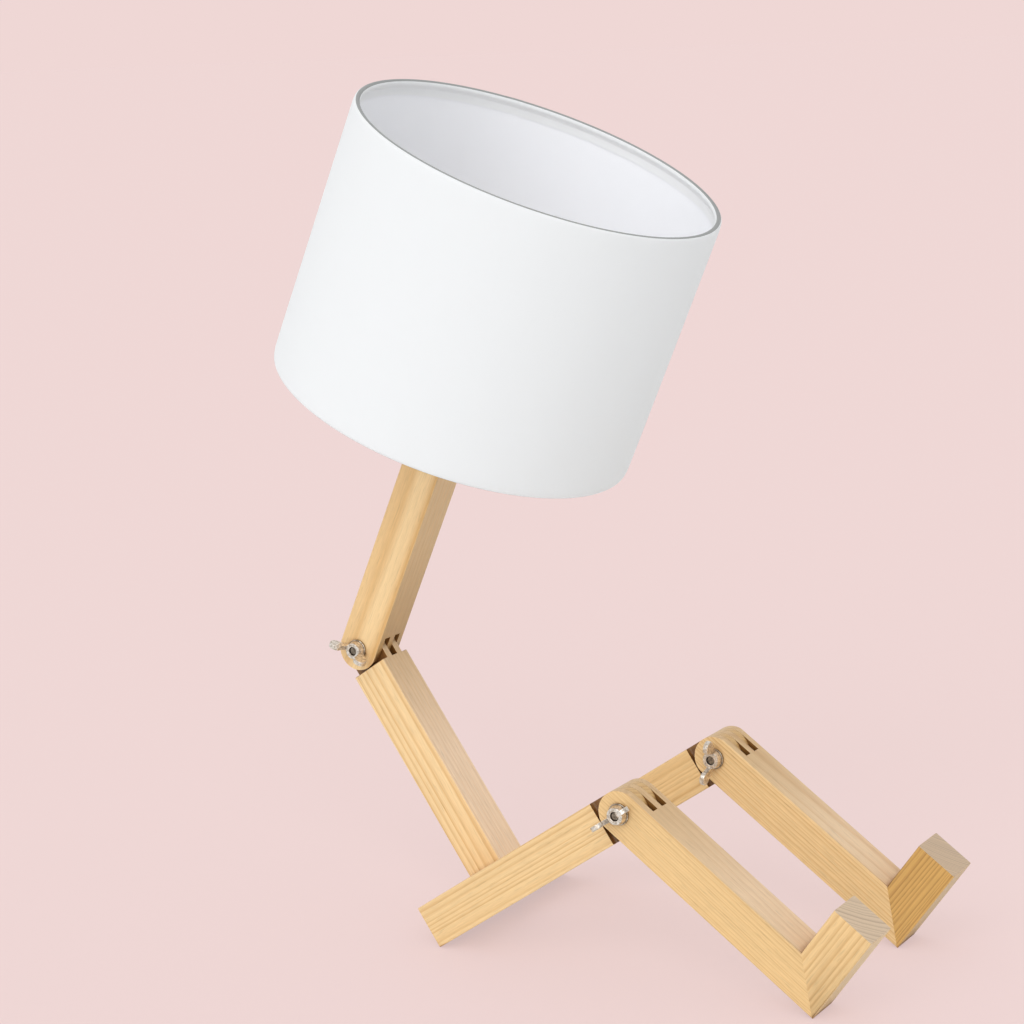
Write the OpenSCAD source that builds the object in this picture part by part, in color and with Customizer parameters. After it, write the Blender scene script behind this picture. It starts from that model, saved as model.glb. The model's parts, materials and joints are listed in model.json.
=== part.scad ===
// Desk lamp in the shape of a sitting figure, made of square pine sticks.
//
// The figure faces -Y and its left side is +X. It sits on the rear bottom edge of its seat
// and on its two heels. Each knee and the neck is a five-layer finger joint clamped by a
// coach bolt and a wing nut. Lengths are millimetres and angles are degrees.

/* [Sticks] */
// Side of the square stick that every limb is cut from
stick = 25; // [20:0.5:32]
// Radius of the stick's long edges
arris_r = 0.8; // [0.4:0.1:2]
// Diameter of the glued dowels
dowel_d = 6; // [4:0.5:7]
// Depth of a dowel in each of the pieces that it joins
dowel_depth = 14; // [8:1:18]

/* [Seat] */
// Rear end of a thigh to the axis of the knee
thigh_len = 150.5; // [110:0.5:200]
// Distance between the centre planes of the two legs
leg_spacing = 111; // [90:1:160]
// Top of the seat to the axis of the neck joint
torso_h = 148; // [110:1:200]

/* [Legs] */
// Axis of the knee to the back of the heel
shin_len = 145; // [115:1:200]
// Underside of the heel to the tip of the toe
foot_h = 57; // [45:1:80]
// Angle of the knees from a straight leg
knee_bend = 69.7; // [55:0.1:85]

/* [Neck] */
// Axis of the neck joint to the top end of the stick
neck_len = 150; // [125:1:200]
// Angle by which the neck leans forward from the line of the torso
neck_lean = 58.2; // [40:0.1:75]

/* [Finger joints] */
// Layers in a joint: the fork has one prong more than the tongue
finger_layers = 5; // [3:2:7]
// Play between the side faces of neighbouring prongs
finger_gap = 0.1; // [0.05:0.01:0.2]
// Clear distance between a round prong end and the shoulder or slot floor behind it
shoulder_gap = 0.6; // [0.5:0.1:3]

/* [Joint hardware] */
// Diameter of the coach bolts
bolt_d = 5; // [4:0.5:6]
// Radial play of a bolt in its holes
bolt_play = 0.05; // [0.02:0.01:0.1]
// Diameter of a bolt's domed head
bolt_head_d = 13; // [11:0.5:16]
// Height of a bolt's domed head
bolt_head_h = 3; // [2:0.1:4]
// Length of a bolt's square neck, let into the outer prong
square_len = 3; // [2:0.1:3.5]
// Length of bolt that shows beyond a wing nut, or below 0 where the bolt ends inside the nut
bolt_spare = -1; // [-2:0.5:5]
// Outside diameter of the large washers
washer_d = 12; // [11:0.5:18]
// Thickness of the large washers
washer_t = 1.2; // [0.8:0.1:2]
// Span of a wing nut over its wings
wing_span = 26; // [22:0.5:30]
// Height of a wing nut with its wings
wing_h = 12.5; // [10:0.5:14]
// Thickness of a wing
wing_t = 2.7; // [1.8:0.1:3]
// Diameter of a wing nut's hub at the washer
hub_d = 11; // [9.5:0.5:13]
// Height of a wing nut's hub
hub_h = 4; // [3.5:0.5:8]
// Direction of the right knee's wings above the line of the thigh
right_wing_angle = 0; // [-90:1:180]
// Direction of the left knee's wings above the line of the thigh
left_wing_angle = 48; // [-90:1:180]
// Direction of the neck's wings above the line of the thigh
neck_wing_angle = 121; // [-90:1:180]

/* [Cable way] */
// Diameter of the cable channel drilled down the neck
channel_d = 10; // [9:0.5:12]
// Depth of the cable channel from the top end
channel_depth = 38; // [32:1:60]
// Top end of the neck to the centre of the cable inlet
inlet_drop = 28; // [24:1:36]
// Bore of the rubber grommet in the inlet
grommet_bore = 6.5; // [5:0.5:7]
// Wall of the grommet's body
grommet_wall = 1.4; // [1:0.1:2]
// Diameter of the grommet's flange
grommet_flange_d = 14; // [12:0.5:16]
// Thickness of the grommet's flange
grommet_flange_t = 1.6; // [1:0.1:2.5]

/* [Lamp holder] */
// Outside diameter of the threaded nipple
nipple_d = 9.8; // [8:0.1:9.8]
// Bore of the threaded nipple
nipple_bore = 7; // [5:0.5:7.5]
// Length of nipple that is screwed into the neck
nipple_in_wood = 16; // [10:1:22]
// Length of nipple above the neck
nipple_out = 14; // [10:1:16]
// Width of the lock nut over its flats
locknut_w = 14; // [12.5:0.5:17]
// Thickness of the lock nut
locknut_t = 3; // [2:0.5:4]
// Outside diameter of the holder
holder_d = 39; // [37:0.5:40]
// Wall of the holder's plastic shells
holder_wall = 2; // [1.5:0.1:2.5]
// Height of the holder's cap
cap_h = 18; // [16:1:24]
// Height of the holder's shell above the cap
shell_h = 36; // [34:1:42]
// Base of the shell to the top of the flange that the shade rests on
flange_z = 10; // [8:1:14]
// Diameter of the holder's flange
flange_d = 47; // [44:0.5:52]
// Thickness of the flange
flange_t = 2; // [1.5:0.1:3]
// Diameter over the ribs of the shade ring
ring_d = 54; // [50:0.5:60]
// Height of the shade ring
ring_h = 7; // [5:0.5:9]
// Grip notches round the shade ring
ring_notches = 24; // [12:2:36]

/* [Shade] */
// Outside diameter of the drum shade
shade_d = 211; // [170:1:250]
// Height of the drum shade
shade_h = 156; // [140:1:200]
// Bottom rim of the shade to the fitter ring inside it
fitter_recess = 24.5; // [16:0.5:34]
// Thickness of the fabric
fabric_t = 0.8; // [0.6:0.1:1.5]
// Thickness of the stiff liner behind the fabric
liner_t = 0.7; // [0.5:0.1:1.5]
// Diameter of the rim wires
rim_wire_d = 2.6; // [2:0.1:4]
// Diameter of the fitter arms
arm_wire_d = 3; // [2.5:0.1:4]
// Arms that hold the fitter ring
fitter_arms = 3; // [3:1:6]
// Width of the fitter ring
fitter_w = 9; // [8:0.5:12]
// Thickness of the fitter ring
fitter_t = 1.6; // [1:0.1:2]

/* [Bulb] */
// Greatest diameter of the bulb
bulb_d = 55; // [45:1:60]
// Length of the bulb from its contact to its crown
bulb_len = 98; // [88:1:104]
// Wall of the bulb's dome and housing
bulb_wall = 1.4; // [1:0.1:2]
// Play between the bulb's screw cap and the holder's threaded shell
cap_play = 0.25; // [0.15:0.05:0.4]

/* [Hidden] */

$fn = 64;
RIGHT = -1;
LEFT = 1;
// Overlap of a cutting shape past the face that it opens
cut = 1;
// Play of a piece that is glued or pressed into wood
wood_play = 0.05;
// Play between rigid pieces that are stacked or screwed together
seat_play = 0.05;

pine_colour = "burlywood";
dowel_colour = "peru";
zinc_colour = "silver";
plastic_colour = "white";

// Places along the seat: x across, y to the rear, z up from the thighs' underside.
half = stick / 2;
shoulder = half + shoulder_gap;
layer_t = stick / finger_layers;
leg_x = leg_spacing / 2;
crossbar_half = leg_x - half;
hip_dowel_z = [stick * 0.28, stick * 0.72];
torso_dowel_x = stick * 0.3;

// Countersunk screw that ties the seat to the torso
screw_d = 5;
screw_head_d = 9.6;
screw_head_h = 3;
screw_in_torso = 34;

// The foot meets the shin in a mitre, from the inner corner to the heel.
inner_heel = shin_len - stick;
toe_z = foot_h - half;
mitre_dowel_depth = dowel_depth * 0.6;

// The seat tilts until its rear bottom edge and both heels lie on the table.
heel_fwd = thigh_len + shin_len * cos(knee_bend) - half * sin(knee_bend);
heel_drop = shin_len * sin(knee_bend) + half * cos(knee_bend) - half;
seat_tilt = atan2(heel_drop, heel_fwd);

// Joint hardware, outwards from the stick's side
nut_x = half + washer_t + 2 * seat_play;
bolt_r = bolt_d / 2;
bolt_hole_r = bolt_r + bolt_play;

// Places along the neck, from its pivot towards the shade
inlet_z = neck_len - inlet_drop;
washer_z = neck_len + seat_play;
locknut_z = washer_z + washer_t + seat_play;
holder_z = locknut_z + locknut_t + seat_play;
shell_z = holder_z + cap_h + seat_play;
fitter_z = shell_z + flange_z + seat_play;
shade_ring_z = fitter_z + fitter_t + seat_play;
shade_z = fitter_z - fitter_recess;

// Cable way
nipple_r = nipple_d / 2;
grommet_r = grommet_bore / 2 + grommet_wall;
grommet_len = half - channel_d / 2;
grommet_lap = 0.2;

// Holder: a cap, a shell screwed on it and a ceramic insert on a ledge inside the cap
holder_r = holder_d / 2;
cap_base_r = holder_r - 6;
cap_flare_h = 8;
cap_boss_r = nipple_r + 3;
cap_boss_h = 6;
lock_screw_d = 3;
lock_screw_z = cap_boss_h / 2;
outer_thread_pitch = 3;
outer_thread_depth = 0.6;
outer_thread_turns = floor((shell_h - flange_z - 3) / outer_thread_pitch);
shell_bore_r = holder_r - holder_wall - outer_thread_depth;
insert_r = shell_bore_r - 0.2;
insert_h = 11;
insert_z = holder_z + cap_h - 3;
ledge_w = 2;
ledge_z = insert_z - seat_play - holder_z;
insert_top = insert_z + insert_h;
contact_head_r = 3.5;
contact_stem_r = 2.1;
terminal_x = 8;
terminal_r = 2.4;
terminal_depth = 6;
terminal_head = 1.5;
socket_z = insert_top + seat_play;

// Edison screw of 27 mm
screw_pitch = 3.63;
screw_root_r = 12.1;
screw_crest_r = 13.1;
screw_turns = 5;
screw_steps = 8;
screw_len = screw_pitch * screw_turns;
socket_wall = 0.4;
socket_floor_hole = 7;

// Heights inside the bulb, from its contact
bulb_z = socket_z + 1.9;
contact_h = 1.6;
insulator_h = 4;
collar_h = 1;
bulb_screw_z = contact_h + insulator_h;
bulb_neck_z = bulb_screw_z + screw_len + collar_h;
housing_z = bulb_neck_z - collar_h / 2;
dome_r = bulb_d / 2;
dome_z = bulb_len - dome_r;
housing_top = dome_z - 0.62 * dome_r;
housing_base_r = screw_root_r + bulb_wall + seat_play;
housing_top_r = sqrt(pow(dome_r, 2) - pow(dome_z - housing_top, 2));
housing_steps = 10;
board_t = 1.6;
board_drop = board_t + 1;

// Shade: the fabric turns round each rim wire in a hem, and a liner stiffens the wall.
wire_r = rim_wire_d / 2;
hem_play = 0.3;
hem_r = wire_r + hem_play;
hem_edge = hem_r + fabric_t;
rim_r = shade_d / 2 - hem_edge;
fitter_r = holder_r + 1;
arm_start_r = fitter_r + fitter_w * 0.85;
arm_end_r = rim_r - wire_r * 0.6;
arm_start_z = fitter_recess + fitter_t / 2;
arm_fall = arm_start_z - hem_edge;
arm_run = arm_end_r - arm_start_r;

// The origin lies under the middle of the lamp's box.
neck_rise = 90 - neck_lean + seat_tilt;
toe_rise = 90 - knee_bend + seat_tilt;
pivot_fwd = half * cos(seat_tilt) - (stick + torso_h) * sin(seat_tilt);
rim_back = shade_d / 2 * sin(neck_rise);
rear_reach = pivot_fwd - rim_back
    + min(shade_z * cos(neck_rise), (shade_z + shade_h) * cos(neck_rise));
front_reach = norm([heel_fwd, heel_drop]) + foot_h * cos(toe_rise);
seat_y = (front_reach + rear_reach) / 2;

// ---------------------------------------------------------------- placing

module on_seat() translate([0, seat_y, 0]) rotate([-seat_tilt, 0, 0]) children();

// Leg frame: origin on the knee's axis, a straight leg runs to -y with its toe up.
module on_knee(side)
    on_seat() translate([side * leg_x, -thigh_len, half]) rotate([knee_bend, 0, 0]) children();

// Neck frame: origin on the neck's axis, the neck runs to +z, the legs are on its -y side.
module on_neck()
    on_seat() translate([0, -half, stick + torso_h]) rotate([neck_lean, 0, 0]) children();

module at_neck_height(z) on_neck() translate([0, 0, z]) children();

// Extrudes an outline drawn in the figure's side view, forward and up.
module side_plate(width)
    rotate([90, 0, -90]) linear_extrude(width, center = true) children();

// Turns a piece made along +z so that it lies along +x.
module along_x() rotate([0, 90, 0]) children();

// ---------------------------------------------------------------- sticks

module stick_section() {
    inner = stick - 2 * arris_r;
    square([inner, stick], center = true);
    square([stick, inner], center = true);
    for (sx = [-1, 1], sy = [-1, 1])
        translate([sx * inner / 2, sy * inner / 2]) circle(arris_r);
}

// Stick from the origin along +z
module bar(length) linear_extrude(length) stick_section();

module forward_bar(length) rotate([90, 0, 0]) bar(length);

// Side view of a stick that starts at the origin and ends in a half round on its pivot
module round_end_outline(length) {
    translate([0, -half]) square([length, stick]);
    translate([length, 0]) circle(half);
}

// The same outline, standing up along +z
module upright_plate() side_plate(stick) rotate(90) children();

function layer_x(i) = -half + i * layer_t;

// Cuts for the joint's two kinds of end. The pivot is the origin and the free end is +z.
module finger_cuts(first_layer, play) {
    for (i = [first_layer : 2 : finger_layers - 1]) {
        outer_low = i == 0 ? cut : play;
        outer_high = i == finger_layers - 1 ? cut : play;
        translate([layer_x(i) - outer_low, -stick, -shoulder])
            cube([layer_t + outer_low + outer_high, 2 * stick, shoulder + stick]);
    }
    bolt_hole();
}

module tongue_cuts() finger_cuts(0, finger_gap);

// The square hole for the bolt's neck is in the fork's outer prong on the +x side.
module fork_cuts() {
    finger_cuts(1, 0);
    square_hole();
}

module bolt_hole() along_x() cylinder(h = stick + 2 * cut, r = bolt_hole_r, center = true);

module square_hole() {
    side = 2 * bolt_hole_r;
    translate([half - square_len - bolt_play, -side / 2, -side / 2])
        cube([square_len + bolt_play + cut, side, side]);
}

// Dowel with chamfered ends, centred on the origin along z
module dowel(depth = dowel_depth) {
    r = dowel_d / 2;
    chamfer = r / 4;
    for (end = [0, 180]) rotate([end, 0, 0]) {
        cylinder(h = depth - chamfer, r = r);
        translate([0, 0, depth - chamfer]) cylinder(h = chamfer, r1 = r, r2 = r - chamfer);
    }
}

module dowel_hole(depth = dowel_depth)
    cylinder(h = 2 * (depth + wood_play), r = dowel_d / 2 + wood_play, center = true);

// ---------------------------------------------------------------- seat

module each_hip_dowel(side)
    for (z = hip_dowel_z)
        translate([side * crossbar_half, -half, z]) along_x() children();

module each_torso_dowel()
    for (side = [-1, 1])
        translate([side * torso_dowel_x, -half, stick]) children();

module torso_screw_shape(play = 0) {
    head_r = screw_head_d / 2 + play;
    r = screw_d / 2 + play;
    length = stick + screw_in_torso + play;
    translate([0, -half, 0]) {
        translate([0, 0, screw_head_h]) cylinder(h = length - screw_head_h, r = r);
        cylinder(h = screw_head_h, r1 = head_r, r2 = r);
    }
}

module hip_crossbar() {
    color(pine_colour) on_seat() difference() {
        translate([crossbar_half, -half, half]) rotate([0, -90, 0])
            rotate([0, 0, 90]) bar(2 * crossbar_half);
        for (side = [RIGHT, LEFT]) each_hip_dowel(side) dowel_hole();
        each_torso_dowel() dowel_hole();
        torso_screw_shape(wood_play);
        translate([0, -half, -cut]) cylinder(h = cut, r = screw_head_d / 2 + wood_play);
    }
}

module thigh(side) {
    color(pine_colour) on_seat() difference() {
        translate([side * leg_x, 0, half]) difference() {
            intersection() {
                forward_bar(thigh_len + half);
                side_plate(stick) round_end_outline(thigh_len);
            }
            translate([0, -thigh_len, 0]) rotate([90, 0, 0]) tongue_cuts();
        }
        each_hip_dowel(side) dowel_hole();
    }
}

module torso_arm() {
    color(pine_colour) on_seat() difference() {
        translate([0, -half, stick]) difference() {
            intersection() {
                bar(torso_h + half);
                upright_plate() round_end_outline(torso_h);
            }
            translate([0, 0, torso_h]) tongue_cuts();
        }
        each_torso_dowel() dowel_hole();
        torso_screw_shape(wood_play);
    }
}

module hip_dowels() {
    color(dowel_colour) on_seat()
        for (side = [RIGHT, LEFT]) each_hip_dowel(side) dowel();
}

module torso_dowels() {
    color(dowel_colour) on_seat() each_torso_dowel() dowel();
}

module torso_screw() {
    slot = [screw_head_d * 2 / 3, 1.2, 2 * 1.4];
    color(zinc_colour) on_seat() difference() {
        torso_screw_shape();
        for (turn = [0, 90])
            translate([0, -half, 0]) rotate(turn) cube(slot, center = true);
    }
}

// ---------------------------------------------------------------- legs

module mitre_dowel_place()
    translate([0, -(shin_len - half), 0]) rotate([45, 0, 0]) children();

// Side view of what the mitre takes off the shin
module beyond_mitre()
    polygon([[inner_heel - cut, half + cut], [shin_len + cut, -half - cut],
             [shin_len + cut, half + cut]]);

module shin(side) {
    color(pine_colour) on_knee(side) difference() {
        intersection() {
            translate([0, half, 0]) forward_bar(shin_len + half);
            side_plate(stick) translate([shin_len, 0]) mirror([1, 0])
                round_end_outline(shin_len);
        }
        side_plate(stick + 2 * cut) beyond_mitre();
        rotate([-90, 0, 0]) fork_cuts();
        mitre_dowel_place() dowel_hole(mitre_dowel_depth);
    }
}

module foot(side) {
    color(pine_colour) on_knee(side) difference() {
        intersection() {
            translate([0, -(shin_len - half), -half]) bar(foot_h);
            side_plate(stick)
                polygon([[inner_heel, half], [shin_len, -half],
                         [shin_len, toe_z], [inner_heel, toe_z]]);
        }
        mitre_dowel_place() dowel_hole(mitre_dowel_depth);
    }
}

module mitre_dowel(side) {
    color(dowel_colour) on_knee(side) mitre_dowel_place() dowel(mitre_dowel_depth);
}

// ---------------------------------------------------------------- joint hardware

// Hardware frame: origin on the joint's axis in the stick's centre plane, nut end to -x.
module bolt() {
    tip_x = -(nut_x + hub_h + bolt_spare);
    tip_chamfer = 0.8;
    r = bolt_r;
    dome_radius = (pow(bolt_head_d / 2, 2) + pow(bolt_head_h, 2)) / (2 * bolt_head_h);
    color(zinc_colour) {
        translate([tip_x, 0, 0]) along_x() {
            cylinder(h = tip_chamfer, r1 = r - tip_chamfer, r2 = r);
            translate([0, 0, tip_chamfer]) cylinder(h = half - tip_x - tip_chamfer, r = r);
        }
        translate([half - square_len, -r, -r]) cube([square_len + seat_play, bolt_d, bolt_d]);
        translate([half + seat_play, 0, 0]) along_x() intersection() {
            translate([0, 0, bolt_head_h - dome_radius]) sphere(dome_radius);
            cylinder(h = bolt_head_h, r = bolt_head_d / 2);
        }
    }
}

module washer(thickness, outer_r, bore_r) {
    difference() {
        cylinder(h = thickness, r = outer_r);
        translate([0, 0, -cut]) cylinder(h = thickness + 2 * cut, r = bore_r);
    }
}

module joint_washer() {
    color(zinc_colour) translate([-half - seat_play, 0, 0]) rotate([0, -90, 0])
        washer(washer_t, washer_d / 2, bolt_hole_r);
}

// One wing in side view: a round lobe carried by a web that rises from the hub
module wing_outline() {
    lobe_r = wing_h * 0.3;
    lobe = [wing_span / 2 - lobe_r, wing_h - lobe_r];
    web_angles = [-26, 135];
    web_foot = [hub_d * 0.48, hub_h * 0.1];
    web_root_x = hub_d * 0.36;
    translate(lobe) circle(lobe_r);
    polygon(concat(
        [[web_root_x, web_foot.y], web_foot],
        [for (a = web_angles) lobe + lobe_r * [cos(a), sin(a)]],
        [[web_root_x, hub_h * 0.93]]));
}

// Wing nut standing on z = 0 with its wings along x
module wing_nut() {
    difference() {
        union() {
            cylinder(h = hub_h, r1 = hub_d / 2, r2 = hub_d * 0.42);
            for (turn = [0, 180])
                rotate(turn) rotate([90, 0, 0])
                    linear_extrude(wing_t, center = true) wing_outline();
        }
        translate([0, 0, -cut]) cylinder(h = hub_h + wing_h, r = bolt_hole_r);
    }
}

module joint_wing_nut(wing_angle) {
    color(zinc_colour) rotate([90 - wing_angle, 0, 0])
        translate([-nut_x, 0, 0]) rotate([0, -90, 0]) wing_nut();
}

// Wings are set against the thigh, so the frame of the leg or neck is turned back.
module on_knee_level(side) on_knee(side) rotate([-knee_bend, 0, 0]) children();
module on_neck_level() on_neck() rotate([-neck_lean, 0, 0]) children();

// ---------------------------------------------------------------- neck

module at_inlet() translate([0, half, inlet_z]) rotate([90, 0, 0]) children();

module neck_arm() {
    color(pine_colour) on_neck() difference() {
        intersection() {
            translate([0, 0, -half]) bar(neck_len + half);
            rotate([180, 0, 0]) translate([0, 0, -neck_len])
                upright_plate() round_end_outline(neck_len);
        }
        rotate([180, 0, 0]) fork_cuts();
        translate([0, 0, neck_len - channel_depth])
            cylinder(h = channel_depth + cut, d = channel_d);
        at_inlet() translate([0, 0, -cut]) cylinder(h = half + cut, r = grommet_r + wood_play);
    }
}

module cable_grommet() {
    color("dimgray") on_neck() at_inlet() translate([0, 0, -seat_play]) difference() {
        union() {
            translate([0, 0, -grommet_flange_t])
                cylinder(h = grommet_flange_t, d = grommet_flange_d);
            translate([0, 0, -grommet_lap]) cylinder(h = grommet_len, r = grommet_r);
        }
        translate([0, 0, -half]) cylinder(h = stick, d = grommet_bore);
    }
}

module threaded_nipple() {
    length = nipple_in_wood + nipple_out;
    color(zinc_colour) at_neck_height(neck_len - nipple_in_wood)
        washer(length, nipple_r, nipple_bore / 2);
}

module nipple_washer() {
    color(zinc_colour) at_neck_height(washer_z)
        washer(washer_t, stick * 0.4, nipple_r + 2 * seat_play);
}

module nipple_locknut() {
    color(zinc_colour) at_neck_height(locknut_z) difference() {
        cylinder(h = locknut_t, d = locknut_w / cos(30), $fn = 6);
        translate([0, 0, -cut])
            cylinder(h = locknut_t + 2 * cut, r = nipple_r + seat_play);
    }
}

// ---------------------------------------------------------------- lamp holder

// Half section of the cap: a cup on a boss, with a ledge inside for the insert
module cap_section() {
    r = holder_r;
    inner = r - holder_wall;
    flare_top = cap_flare_h + holder_wall / 2;
    ledge_r = insert_r - ledge_w;
    polygon([[0, 0], [cap_base_r, 0], [r, cap_flare_h], [r, cap_h], [inner, cap_h],
             [inner, ledge_z], [ledge_r, ledge_z], [ledge_r, ledge_z - ledge_w],
             [inner, flare_top], [cap_base_r - holder_wall / 2, holder_wall], [0, holder_wall]]);
    square([cap_boss_r, cap_boss_h]);
}

module holder_cap() {
    color(plastic_colour) at_neck_height(holder_z) difference() {
        rotate_extrude() cap_section();
        translate([0, 0, -cut]) cylinder(h = cap_h, r = nipple_r + seat_play);
        translate([0, 0, lock_screw_z]) rotate([-90, 0, 0])
            cylinder(h = holder_d, d = lock_screw_d + 2 * seat_play);
    }
}

module cap_lock_screw() {
    inner = nipple_r + 2 * seat_play;
    length = cap_boss_r + 4 - inner;
    slot = [2 * lock_screw_d, 0.6, 2];
    color(zinc_colour) at_neck_height(holder_z + lock_screw_z)
        translate([0, inner, 0]) rotate([-90, 0, 0]) difference() {
            cylinder(h = length, d = lock_screw_d);
            translate([0, 0, length]) cube(slot, center = true);
        }
}

// Outside of a ring thread: one ridge for each pitch
function ridge_points(root_r, crest_r, pitch, turns, z0) = [
    for (i = [0 : turns - 1])
        for (p = [[root_r, 0.12], [crest_r, 0.38], [crest_r, 0.62], [root_r, 0.88]])
            [p[0], z0 + (i + p[1]) * pitch]
];

module holder_shell() {
    root = holder_r - outer_thread_depth;
    color(plastic_colour) at_neck_height(shell_z) rotate_extrude() polygon(concat(
        [[shell_bore_r, 0], [holder_r, 0], [holder_r, flange_z - flange_t],
         [flange_d / 2, flange_z - flange_t], [flange_d / 2, flange_z], [root, flange_z]],
        ridge_points(root, holder_r, outer_thread_pitch, outer_thread_turns, flange_z),
        [[root, shell_h - 1], [root - 1, shell_h], [shell_bore_r, shell_h]]));
}

module holder_insert() {
    stem_hole_r = contact_stem_r + seat_play;
    color("whitesmoke") at_neck_height(insert_z) difference() {
        cylinder(h = insert_h, r = insert_r);
        translate([0, 0, -cut]) cylinder(h = insert_h + 2 * cut, r = stem_hole_r);
        for (side = [-1, 1])
            translate([side * terminal_x, 0, -cut])
                cylinder(h = terminal_depth + cut, r = terminal_r + seat_play);
    }
}

module terminal_screws() {
    slot = [3 * terminal_r, 0.8, 2];
    color("gold") for (side = [-1, 1])
        at_neck_height(insert_z - terminal_head) translate([side * terminal_x, 0, 0])
            difference() {
                cylinder(h = terminal_depth + terminal_head, r = terminal_r);
                cube(slot, center = true);
            }
}

// Wavy wall of the Edison screw, from root to crest and back once per pitch
function screw_wave(z) = (1 - cos(360 * z / screw_pitch)) / 2;
function screw_points(offset, z0) = [
    for (i = [0 : screw_steps * screw_turns])
        let (z = i * screw_pitch / screw_steps)
        [screw_root_r + offset + (screw_crest_r - screw_root_r) * screw_wave(z), z0 + z]
];
function reversed(list) = [for (i = [len(list) - 1 : -1 : 0]) list[i]];

module holder_screw_shell() {
    z0 = bulb_z + bulb_screw_z - socket_z;
    mouth = z0 + screw_len + socket_wall;
    bore = screw_root_r + cap_play;
    color("goldenrod") at_neck_height(socket_z) rotate_extrude() polygon(concat(
        [[socket_floor_hole, 0], [bore + socket_wall, 0]],
        screw_points(cap_play + socket_wall, z0),
        [[bore + socket_wall, mouth], [bore, mouth]],
        reversed(screw_points(cap_play, z0)),
        [[bore, socket_wall], [socket_floor_hole, socket_wall]]));
}

module holder_contact() {
    stem_len = insert_h - 2;
    color("gold") at_neck_height(socket_z) {
        cylinder(h = bulb_z - socket_z - seat_play, r = contact_head_r);
        translate([0, 0, -stem_len]) cylinder(h = stem_len, r = contact_stem_r);
    }
}

module shade_ring() {
    base_h = 2;
    rib_depth = 2;
    body_r = ring_d / 2 - rib_depth;
    notch_r = 1.2;
    color(plastic_colour) at_neck_height(shade_ring_z) difference() {
        union() {
            cylinder(h = base_h, d = ring_d);
            cylinder(h = ring_h, r = body_r);
        }
        translate([0, 0, -cut]) cylinder(h = ring_h + 2 * cut, r = holder_r + seat_play);
        for (i = [0 : ring_notches - 1])
            rotate(i * 360 / ring_notches) translate([body_r + notch_r * 0.4, 0, base_h])
                cylinder(h = ring_h, r = notch_r, $fn = 24);
    }
}

// ---------------------------------------------------------------- shade

// Half ring of fabric round a rim wire, below it or above it
module hem_section(z, up) {
    translate([rim_r, z]) intersection() {
        difference() {
            circle(hem_edge);
            circle(hem_r);
        }
        translate([-hem_edge, up ? 0 : -hem_edge]) square([2 * hem_edge, hem_edge]);
    }
}

// Arms from the fitter ring out and down to the bottom rim wire
module spider_arms(r) {
    for (i = [0 : fitter_arms - 1])
        rotate(90 + i * 360 / fitter_arms) translate([arm_start_r, 0, arm_start_z])
            rotate([0, 90 + atan2(arm_fall, arm_run), 0])
                cylinder(h = norm([arm_run, arm_fall]), r = r, $fn = 24);
}

// The hem is cut away where the arms reach the wire.
module shade_fabric() {
    color("white") at_neck_height(shade_z) difference() {
        rotate_extrude($fn = 128) {
            translate([shade_d / 2 - fabric_t, hem_edge])
                square([fabric_t, shade_h - 2 * hem_edge]);
            hem_section(hem_edge, false);
            hem_section(shade_h - hem_edge, true);
        }
        spider_arms(arm_wire_d / 2 + seat_play);
    }
}

module shade_liner() {
    edge = 2 * hem_edge;
    outer = shade_d / 2 - fabric_t - seat_play;
    color("ivory") at_neck_height(shade_z + edge) rotate_extrude($fn = 128)
        translate([outer - liner_t, 0]) square([liner_t, shade_h - 2 * edge]);
}

module rim_wire(play = 0)
    rotate_extrude($fn = 128) translate([rim_r, 0]) circle(wire_r + play, $fn = 24);

module shade_bottom_ring() {
    color(zinc_colour) at_neck_height(shade_z + hem_edge) rim_wire();
}

module shade_top_ring() {
    color(zinc_colour) at_neck_height(shade_z + shade_h - hem_edge) rim_wire();
}

// Fitter ring and its arms, which end in saddles on the bottom rim wire
module shade_spider() {
    color(zinc_colour) at_neck_height(shade_z) difference() {
        union() {
            translate([0, 0, fitter_recess])
                washer(fitter_t, fitter_r + fitter_w, fitter_r);
            spider_arms(arm_wire_d / 2);
        }
        translate([0, 0, hem_edge]) rim_wire(seat_play);
    }
}

// ---------------------------------------------------------------- bulb

module at_bulb(z = 0) at_neck_height(bulb_z + z) children();

module bulb_contact() {
    color("silver") at_bulb()
        cylinder(h = contact_h, r1 = contact_head_r - 0.3, r2 = contact_head_r + 1.1);
}

module bulb_insulator() {
    color("dimgray") at_bulb(contact_h + seat_play)
        cylinder(h = insulator_h - 2 * seat_play,
                 r1 = contact_head_r + 1.5, r2 = screw_root_r - 1);
}

module bulb_cap() {
    inner = screw_root_r - 2 * socket_wall;
    lip = screw_root_r - 2;
    color("silver") at_bulb(bulb_screw_z) rotate_extrude() polygon(concat(
        [[lip, 0], [screw_root_r, 0]],
        screw_points(0, 0),
        [[screw_root_r, screw_len + collar_h], [inner, screw_len + collar_h],
         [inner, collar_h], [lip, collar_h]]));
}

// Outside of the housing: a trumpet from the screw cap to the dome
function trumpet(t) = [
    housing_base_r + (housing_top_r - housing_base_r) * (0.35 * t + 0.65 * pow(t, 2.2)),
    housing_z + (housing_top - housing_z) * t
];

module bulb_housing() {
    color("white") at_bulb() rotate_extrude() polygon(concat(
        [for (i = [0 : housing_steps]) trumpet(i / housing_steps)],
        [for (i = [housing_steps : -1 : 0]) trumpet(i / housing_steps) - [bulb_wall, 0]]));
}

module bulb_led_board() {
    t = 1 - board_drop / (housing_top - housing_z);
    color("white") at_bulb(housing_top - board_drop)
        cylinder(h = board_t, r = trumpet(t).x - bulb_wall - seat_play);
}

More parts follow.
